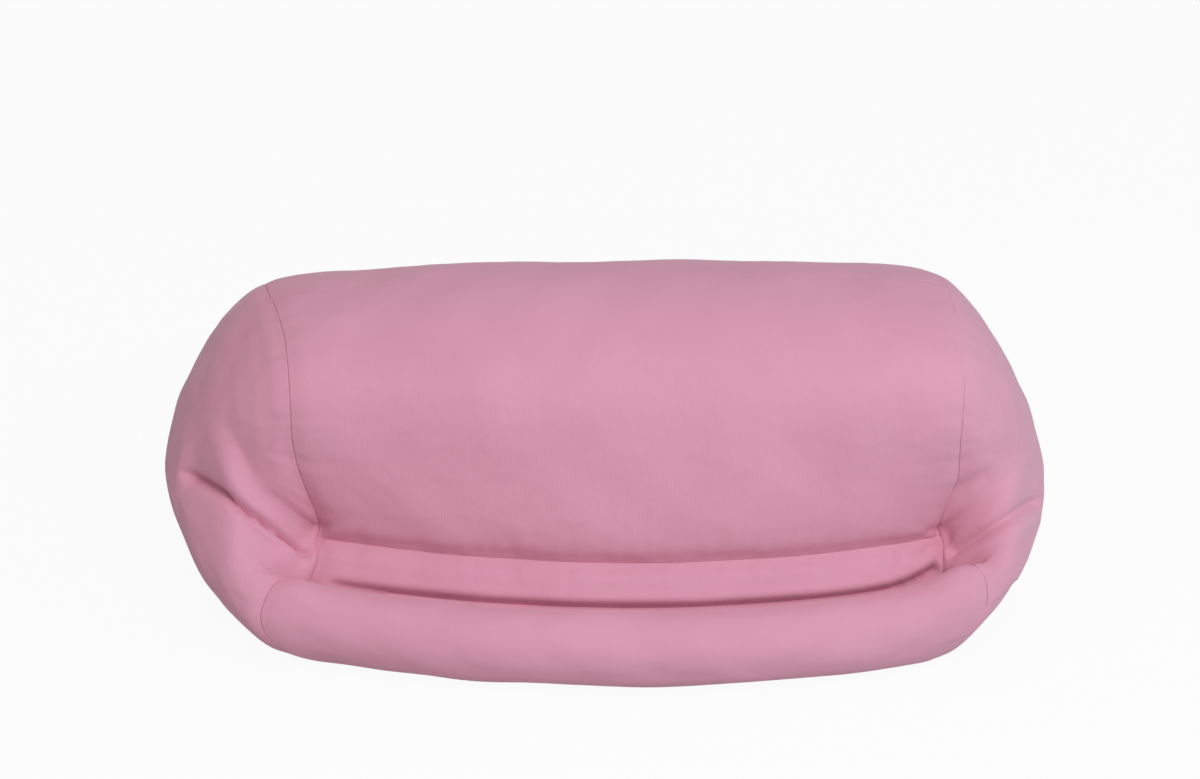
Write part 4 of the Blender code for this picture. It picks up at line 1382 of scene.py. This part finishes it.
    def make(self) -> list[Thing]:
        """Build all six panels."""
        finish = BrushedKnit().material()
        return [
            self.panel("roll_panel", (Row.GROOVE, Row.WEB), finish),
            self.panel("base_panel", (Row.WEB, Row.ZIP_LINE), finish),
            self.panel("main_panel", (Row.ZIP_LINE, Row.CREASE), finish),
            self.panel("ledge_panel", (Row.CREASE, Row.ROUND), finish),
            self.end_panel("left_end_panel", 0, finish),
            self.end_panel("right_end_panel", 1, finish),
        ]


# ---- The filling ----


@dataclass
class Filling:
    """The inner bag of beads, the roll's filling and the web sewn between them."""

    skin: Skin
    relief: Relief
    under_cover: float = 0.0019
    at_seams: float = 0.0024
    seam_reach: float = 0.004
    web_half: float = 0.0004
    web_clear: float = 0.0007
    web_ends: tuple[float, float] = (0.0036, 0.0026)
    zip_pocket: float = 0.0056
    lumps: float = 0.0004
    notch_depth: float = 0.0030
    notch_drop: float = 0.0070
    lowest: float = 0.0016
    front_ends: tuple[float, float] = (0.84, 0.15)
    front_shift: Point = (0.0, 0.0060, -0.0080)
    roll_reach: float = 0.965
    web_reach: float = 0.97
    sharp_deg: float = 80.0

    def web_line(self, x_top: Grid, x_base: Grid, offset: float, share: Grid) -> Grid:
        """Points down the web's plane, from the groove's seam to the base's."""
        x = x_top[:, None] + (x_base - x_top)[:, None] * share
        skin = self.skin
        groove_z = skin.roll_radius * (1.0 + math.sin(math.radians(skin.groove_deg)))
        top = groove_z + skin.rim_lift - self.web_ends[0]
        z = np.broadcast_to(top + (self.web_ends[1] - top) * share, x.shape)
        return np.stack([x, skin.groove_y(x) + offset, z], axis=-1)

    def layer(self, u: Grid, v: Grid) -> Grid:
        """Points just under the cover, lower behind the zip, beside the seams and at the notch."""
        points = self.skin.points(u, v)
        normals = self.skin.normals(u, v)
        height = self.relief.height(u, v, points, normals)
        behind = smooth((SLOT_HALF + 0.006 - np.abs(points[..., 0])) / 0.004)
        behind = behind * (1.0 - smooth((np.abs(v - Row.ZIP_LINE) - 0.55) / 0.25))
        from_end = self.skin.from_end(points, u, v)
        beside = bell(from_end, self.seam_reach)
        for row in self.relief.sewn_rows:
            beside = beside + bell(self.skin.from_row(points, u, row), self.seam_reach)
        on_dome = 1.0 - smooth((np.abs(u) - 1.0) / 0.35)
        at_end = np.where(np.abs(u) > 1.0, on_dome, bell(from_end, 0.008))
        from_groove = wrapped(v + 4.0) - 4.0
        depth = self.under_cover + self.at_seams * beside
        depth = depth + self.notch_depth * at_end * bell(from_groove, 0.30)
        depth = depth + 0.4 * np.maximum(-height - 0.001, 0.0)
        depth = depth + (self.zip_pocket - self.under_cover) * behind
        x, y, z = points[..., 0], points[..., 1], points[..., 2]
        beads = np.sin(x * 900.0 + 2.0 * z) * np.sin(y * 870.0 + 140.0 * x)
        beads = beads * np.sin(z * 910.0 + 1.0)
        depth = depth + self.lumps * (0.5 + 0.5 * beads)
        made = points + normals * (height - depth)[..., None]
        made[..., 2] -= self.notch_drop * at_end * bell(from_groove - 0.06, 0.16)
        made[..., 2] = np.maximum(made[..., 2], self.lowest)
        return made

    def filled(
        self, grid: Grid, flat: Grid, name: str, finish: Finish, node: str, fill: float
    ) -> Thing:
        """A filled piece from a grid that is closed at its poles."""
        shape = closed_grid(grid, flat)
        return padded_piece(shape, name, finish, self.sharp_deg, node)

    def bead_bag(self, finish: Finish) -> Thing:
        """The bag: the skin's body and both domes, closed in front by the web's plane."""
        share = 1.0 - (1.0 - np.linspace(0.0, 1.0, 33)) ** 1.3
        tube = np.linspace(-1.0, 1.0, 151)
        u = np.concatenate([-1.0 - share[:0:-1], tube, 1.0 + share[1:]])
        v = self.skin.row_at(np.linspace(0.0, self.skin.around, 241)[:-1])
        columns, rows = np.broadcast_arrays(u[:, None], v[None, :])
        grid = self.layer(columns, rows)
        inside = np.abs(u) <= 1.0
        edge = grid[inside]
        count = int((v <= Row.WEB).sum())
        down = np.linspace(0.0, 1.0, count)
        offset = self.web_half + self.web_clear
        line = self.web_line(edge[:, 0, 0], edge[:, count - 1, 0], offset, down)
        begun, run = self.front_ends
        at_end = smooth((np.abs(u[inside]) - begun) / run)[:, None] * (1.0 - down)
        edge[:, :count] = line + at_end[..., None] * np.array(self.front_shift)
        grid[inside] = edge
        draw_together(grid)
        flat = np.stack([grid[..., 0], self.skin.run_at(rows)], axis=-1)
        return self.filled(grid, flat, "bead_bag_filled", finish, "bead_bag", 0.8)

    def roll_filling(self, finish: Finish) -> Thing:
        """The roll's filling: the skin's roll, closed behind along the web's other side."""
        u = np.linspace(-1.0, 1.0, 141)[:, None] * self.roll_reach
        v = np.linspace(0.02, float(Row.WEB) - 0.03, 46)[None, :]
        front = self.layer(*np.broadcast_arrays(u, v))
        offset = -(self.web_half + self.web_clear)
        share = np.linspace(0.0, 1.0, 14)
        rear = self.web_line(front[:, 0, 0], front[:, -1, 0], offset, share)[:, ::-1]
        front[:, 0], front[:, -1] = rear[:, -1], rear[:, 0]
        ring = np.concatenate([front, rear[:, 1:-1]], axis=1)
        middle = ring.mean(axis=1, keepdims=True)
        steps = np.array([0.35, 0.65, 0.87, 1.0])[:, None, None]
        caps = []
        for column, side in ((0, -1.0), (-1, 1.0)):
            cap = ring[column] + (middle[column] - ring[column]) * steps**1.5
            cap[..., 0] += side * 0.003 * np.sin(steps[..., 0] * math.pi / 2.0)
            caps.append(cap)
        grid = np.concatenate([caps[0][::-1], ring, caps[1]])
        draw_together(grid)
        flat = np.stack([grid[..., 0], travelled(grid, 1)], axis=-1)
        return self.filled(grid, flat, "roll_filling", finish, "roll_bolster", 0.9)

    def web(self, finish: Finish) -> Thing:
        """The web of cloth, stretched from the groove's seam to the base's."""
        places = np.linspace(-self.web_reach, self.web_reach, 150)
        rows = (Row.GROOVE, Row.WEB)
        ends = [places * self.skin.half_length(np.full_like(places, row), places) for row in rows]
        share = np.linspace(0.0, 1.0, 12)
        ripple = 0.0001 * np.sin(places * 90.0)[:, None] * np.sin(share * math.pi)[None, :]
        offsets = (-self.web_half, self.web_half)
        front, rear = (self.web_line(*ends, offset, share) for offset in offsets)
        for sheet in (front, rear):
            sheet[..., 1] += ripple
        shape = sheet_shape(rear, front, front[..., [0, 2]])
        thing = shape.piece("web_cloth", finish, 60.0)
        dressed(thing, Body.CUSHION, ["baffle_web"])
        size = (float(travelled(front[:, 0])[-1]), float(travelled(front[0])[-1]))
        return thing

    def make(self) -> list[Thing]:
        """Build the bag, the roll's filling and the web."""
        finish = LinerWeave().material()
        return [self.bead_bag(finish), self.roll_filling(finish), self.web(finish)]


# ---- The zip ----


@dataclass
class Zip:
    """The refill zip across the lower back: tapes, teeth, stops, slider and pull tab."""

    skin: Skin
    tape_half: float = 0.101
    tape_width: float = 0.0110
    tape_thickness: float = 0.0006
    tape_under: float = 0.00150
    tape_leans: tuple[float, float] = (0.235, 0.166)
    tooth_pitch: float = 0.0036
    tooth_width: float = 0.0019
    tooth_thickness: float = 0.0024
    tooth_reach: float = 0.0009
    tooth_inset: float = 0.0014
    cord_edge: float = 0.0015
    cord_width: float = 0.0012
    cord_share: float = 0.7
    chain_start: float = -0.0830
    chain_end: float = 0.0850
    stitch: float = 0.0024
    stitch_gap: float = 0.0009
    stitch_inset: float = 0.0026
    thread_radius: float = 0.00024

    @cached_property
    def centre(self) -> tuple[float, float]:
        """The y and z of the zip's line, on the flat strip of the lower back."""
        skin = self.skin
        y = skin.body_y + skin.body_radius * math.cos(skin.zip_lean)
        return y, skin.widest_z + (skin.high - skin.sag_depth) * math.sin(skin.zip_lean) / 2.0

    @property
    def middle(self) -> float:
        """The y of the tapes' middle on the strip."""
        return self.centre[0] - self.tape_under - self.tape_thickness / 2.0

    def tape(self, side: float, finish: Finish) -> Thing:
        """One woven tape: flat on the strip, then leaning with the body, its edge rippled."""
        name, lean, neighbour = (
            ("upper", self.tape_leans[1], "cover_main_panel") if side > 0.0
            else ("lower", self.tape_leans[0], "cover_base_panel")
        )
        reach = self.cord_edge + self.tape_width
        away = np.linspace(self.cord_edge + self.cord_width / 4.0, reach, 16)
        back = np.maximum(away - self.skin.strip_half, 0.0) * lean
        line = np.stack([self.middle - back, self.centre[1] + side * away], axis=-1)
        x = np.linspace(-self.tape_half, self.tape_half, 170)[:, None]
        ripple = 0.00010 * smooth((away - 0.006) / 0.006) * np.sin(x * 420.0 + side)
        places = np.broadcast_arrays(x, line[:, 0] - ripple, line[:, 1])
        grid = np.stack(places, axis=-1)[:: -1 if side > 0.0 else 1]
        half = np.array([0.0, self.tape_thickness / 2.0, 0.0])
        flat = np.stack(np.broadcast_arrays(grid[..., 0], side * away), axis=-1)
        shape = sheet_shape(grid + half, grid - half, flat)
        thing = shape.piece(f"woven_tape_{name}", finish, 50.0)
        dressed(thing, Body.CUSHION, [f"zip_tape_{name}"])
        size = (2.0 * self.tape_half, float(travelled(line)[-1]))
        return thing

    @staticmethod
    def rounded_block(x: Sequence[float], y: Sequence[float], z: Sequence[float]) -> Shape:
        """A soft-cornered block: a ball whose coordinates are each drawn to a low power.

        Args:
            x: its least and greatest x.
            y: its least and greatest y.
            z: its least and greatest z.

        Returns:
            Its shape, 7 columns by 10 rows.
        """
        low, high = np.transpose([x, y, z])
        theta = np.linspace(0.0, math.pi, 7)[:, None]
        phi = np.linspace(0.0, math.tau, 11)[None, :-1]

        def drawn(value: Grid) -> Grid:
            """A coordinate drawn out towards the block's faces."""
            return np.sign(value) * np.abs(value) ** 0.45

        girth = drawn(np.sin(theta))
        parts = (drawn(-np.cos(theta)), girth * drawn(np.cos(phi)), girth * drawn(np.sin(phi)))
        ball = np.stack(np.broadcast_arrays(*parts), axis=-1)
        ball[0], ball[-1] = (-1.0, 0.0, 0.0), (1.0, 0.0, 0.0)
        grid = (low + high) / 2.0 + ball * (high - low) / 2.0
        return closed_grid(grid[:, ::-1], np.zeros((7, 10, 2)))

    def teeth(self, side: float, finish: Finish) -> Thing:
        """One side's moulded teeth on their cord."""
        name = "upper" if side > 0.0 else "lower"
        z = self.centre[1]
        far = z + side * (self.cord_edge + self.cord_width)
        first = self.chain_start + (0.0 if side > 0.0 else self.tooth_pitch / 2.0)
        first += self.tooth_inset
        count = int((self.chain_end - first - self.tooth_inset) / self.tooth_pitch) + 1
        half, wide = self.tooth_thickness / 2.0, self.tooth_width / 2.0
        deep = (self.middle - half, self.middle + half)
        tall = sorted((z - side * self.tooth_reach, far))
        shapes = []
        for number in range(count):
            x = first + number * self.tooth_pitch + self.tooth_inset / 2.0
            shapes.append(self.rounded_block((x - wide, x + wide), deep, tall))
        thin = half * self.cord_share
        shapes.append(self.rounded_block(
            (self.chain_start, self.chain_end), (self.middle - thin, self.middle + thin),
            sorted((z + side * self.cord_edge, far)),
        ))
        thing = joined(shapes).piece(f"moulded_teeth_{name}", finish, 60.0)
        return dressed(thing, Body.CUSHION, [f"zip_tape_{name}"])

    def stitches(self, finish: Finish, height: Callable[[Grid, Grid], Grid]) -> Thing:
        """A row of stitches beside each edge of the slot, lying half sunk in the cover."""
        pitch = self.stitch + self.stitch_gap
        turn = np.linspace(0.0, math.tau, 9)[:-1]
        share = np.linspace(0.0, 1.0, 7)
        rise = np.sin(share * math.pi)
        arch = rise * self.thread_radius * 1.5 - self.thread_radius * 0.7
        girth = self.thread_radius * np.sqrt(np.maximum(rise, 0.0))
        flat = np.stack(np.broadcast_arrays(turn[None] / math.tau, share[:, None]), axis=-1)
        step = 0.5 * (SLOT_OPEN + self.stitch_inset) / self.skin.strip_half
        shapes = []
        for side in (-1.0, 1.0):
            for start in np.arange(-SLOT_HALF, SLOT_HALF - pitch / 2.0, pitch):
                u = (start + share * self.stitch) / self.skin.seam_x
                v = np.full_like(u, float(Row.ZIP_LINE) + side * step)
                normals = self.skin.normals(u, v)
                middle = self.skin.points(u, v) + normals * (height(u, v) + arch)[:, None]
                across = np.cross(normals, np.array([1.0, 0.0, 0.0]))
                ring = middle[:, None] + girth[:, None, None] * (
                    normals[:, None] * np.cos(turn)[None, :, None]
                    + across[:, None] * np.sin(turn)[None, :, None]
                )
                shapes.append(closed_grid(ring, flat))
        thing = joined(shapes).piece("slot_stitches", finish, 80.0)
        return dressed(thing, Body.CUSHION)

    @staticmethod
    def polished(node: str, name: str, body: Body, finish: Finish, width: float) -> Thing:
        """A copy of a CAD part with its doubles merged and its edges rounded.

        Args:
            node: the CAD node.
            name: the piece's name.
            body: the body that it rides on.
            finish: its material.
            width: how wide its edges are rounded.

        Returns:
            The piece.
        """
        mesh = frame["nodes"][node].data.copy()
        mesh.name = name
        work = bmesh.new()
        work.from_mesh(mesh)
        bmesh.ops.remove_doubles(work, verts=work.verts, dist=0.000005)
        bmesh.ops.dissolve_limit(
            work, angle_limit=math.radians(1.0), verts=work.verts, edges=work.edges
        )
        work.to_mesh(mesh)
        work.free()
        mesh.materials.clear()
        mesh.materials.append(finish)
        thing = bpy.data.objects.new(name, mesh)
        bpy.context.scene.collection.objects.link(thing)
        bevel = thing.modifiers.new("rounded_edges", "BEVEL")
        bevel.width = width
        bevel.segments = 3
        bevel.limit_method = "ANGLE"
        bevel.angle_limit = math.radians(25.0)
        bevel.harden_normals = True
        mesh.shade_smooth()
        return dressed(thing, body, [node])

    def make(self, height: Callable[[Grid, Grid], Grid]) -> list[Thing]:
        """Build the whole zip.

        Args:
            height: the relief's height at places of the skin, for the stitches.

        Returns:
            Its pieces.
        """
        weave, plastic = TapeWeave().material(), MouldedTeeth().material()
        nickel, thread = RubbedNickel().material(), SewingThread().material()
        made = []
        for side in (1.0, -1.0):
            made += [self.tape(side, weave), self.teeth(side, plastic)]
        made.append(self.stitches(thread, height))
        metal = [
            (node, node.replace("zip", "clamped"), Body.CUSHION, nickel, 0.00012)
            for node in ("zip_top_stop_upper", "zip_top_stop_lower", "zip_bottom_stop")
        ]
        metal.append(("zip_slider", "cast_slider", Body.SLIDER, nickel, 0.00016))
        metal.append(("zip_pull_tab", "stamped_pull_tab", Body.TAB, nickel, 0.00016))
        return made + [self.polished(*row) for row in metal]


# ---- The studio ----


@dataclass
class Studio:
    """Floor, soft light and the camera at the photograph's angle."""

    azimuth_deg: float = -9.291
    elevation_deg: float = 27.223
    roll_deg: float = -4.778
    distance: float = 1.86409
    aim_z: float = 0.060
    lens_mm: float = 141.27
    shift: tuple[float, float] = (-0.01231, 0.04920)
    key_place: Point = (0.30, -1.15, 1.45)
    key_power: float = 19.5
    key_size: float = 1.0
    fill_place: Point = (1.30, -0.40, 0.60)
    fill_colour: Colour = (0.35, 1.0, 0.95)
    fill_power: float = 3.0
    fill_size: float = 0.6
    world_level: float = 0.36
    floor_z: float = -0.0002

    def camera(self) -> Thing:
        """The camera, turned a little about its own axis as the photograph was."""
        angles = (self.azimuth_deg, self.elevation_deg, self.roll_deg)
        turn, rise, roll = (math.radians(angle) for angle in angles)
        level = math.cos(rise)
        back = Vector((math.sin(turn) * level, -math.cos(turn) * level, math.sin(rise)))
        right = Vector((math.cos(turn), math.sin(turn), 0.0))
        up = back.cross(right)
        across = right * math.cos(roll) - up * math.sin(roll)
        above = right * math.sin(roll) + up * math.cos(roll)
        data = bpy.data.cameras.new("photo_camera")
        data.lens, data.sensor_width = self.lens_mm, 36.0
        data.shift_x, data.shift_y = self.shift
        data.clip_start, data.clip_end = 0.01, 60.0
        thing = bpy.data.objects.new("photo_camera", data)
        place = Matrix((across, above, back)).transposed().to_4x4()
        place.translation = Vector((0.0, 0.0, self.aim_z)) + back * self.distance
        thing.matrix_world = place
        bpy.context.scene.collection.objects.link(thing)
        bpy.context.scene.camera = thing
        return thing

    def soft_light(
        self, name: str, place: Point, size: float, power: float, colour: Colour = WHITE
    ) -> Thing:
        """A square soft light that faces the cushion."""
        data = bpy.data.lights.new(name, "AREA")
        data.shape, data.size, data.energy, data.color = "SQUARE", size, power, colour
        thing = bpy.data.objects.new(name, data)
        thing.location = place
        way = Vector((0.0, 0.0, self.aim_z)) - Vector(place)
        thing.rotation_euler = way.to_track_quat("-Z", "Y").to_euler()
        bpy.context.scene.collection.objects.link(thing)
        return thing

    def world(self) -> None:
        """A dim even sky that the camera sees as white."""
        graph = Graph(bpy.data.worlds.new("plain_sky"))
        sky, plain = (
            graph.wire(graph.add("Background", {"Color": WHITE, "Strength": level}))
            for level in (self.world_level, 1.0)
        )
        seen = graph.wire(graph.add("LightPath"), "Is Camera Ray")
        mix = graph.add("MixShader", {0: seen, 1: sky, 2: plain})
        bpy.context.scene.world = graph.shown(graph.wire(mix))

    def floor(self) -> Thing:
        """A wide floor at the cushion's foot: concentric rings of quads round one fan."""
        count = 64
        turn = np.linspace(0.0, math.tau, count + 1)[:-1]
        rings = np.array([0.3, 0.8, 2.0, 5.0, 12.0])[:, None]
        grid = np.stack(np.broadcast_arrays(
            rings * np.cos(turn), rings * np.sin(turn), np.float64(self.floor_z)
        ), axis=-1)
        quads = grid_quads(len(rings), count, True)[:, ::-1]
        points = np.concatenate([grid.reshape(-1, 3), [[0.0, 0.0, self.floor_z]]])
        ring = np.arange(count)
        fan = np.stack([ring, np.roll(ring, -1), np.full(count, len(points) - 1)], axis=-1)
        thing = Shape(points, quads, fan).piece("floor", PaleFloor().material())
        return thing

    def make(self) -> None:
        """Set the camera, the lights, the sky and the floor."""
        bpy.context.scene.view_settings.view_transform = "Standard"
        self.camera()
        self.soft_light("key", self.key_place, self.key_size, self.key_power)
        self.soft_light("fill", self.fill_place, self.fill_size, self.fill_power, self.fill_colour)
        self.world()
        self.floor()


def clear_start() -> None:
    """Remove what the file opened with, apart from the frame."""
    kept = set(frame["nodes"].values()) | set(frame["bodies"].values())
    for thing in [o for o in bpy.data.objects if o not in kept]:
        bpy.data.objects.remove(thing, do_unlink=True)


def main() -> None:
    """Build the stand's pieces in order and report each."""
    logging.basicConfig(level=logging.INFO, format="%(name)s: %(message)s")
    clear_start()
    skin = Skin()
    relief = Relief(skin)
    relief.swelling = Swelling(skin)
    Cover(skin, relief).make()
    Filling(skin, relief).make()

    def height(u: Grid, v: Grid) -> Grid:
        """The relief's height at places of the skin."""
        return relief.height(u, v, skin.points(u, v), skin.normals(u, v))

    Zip(skin).make(height)
    Studio().make()


if __name__ == "__main__":
    main()
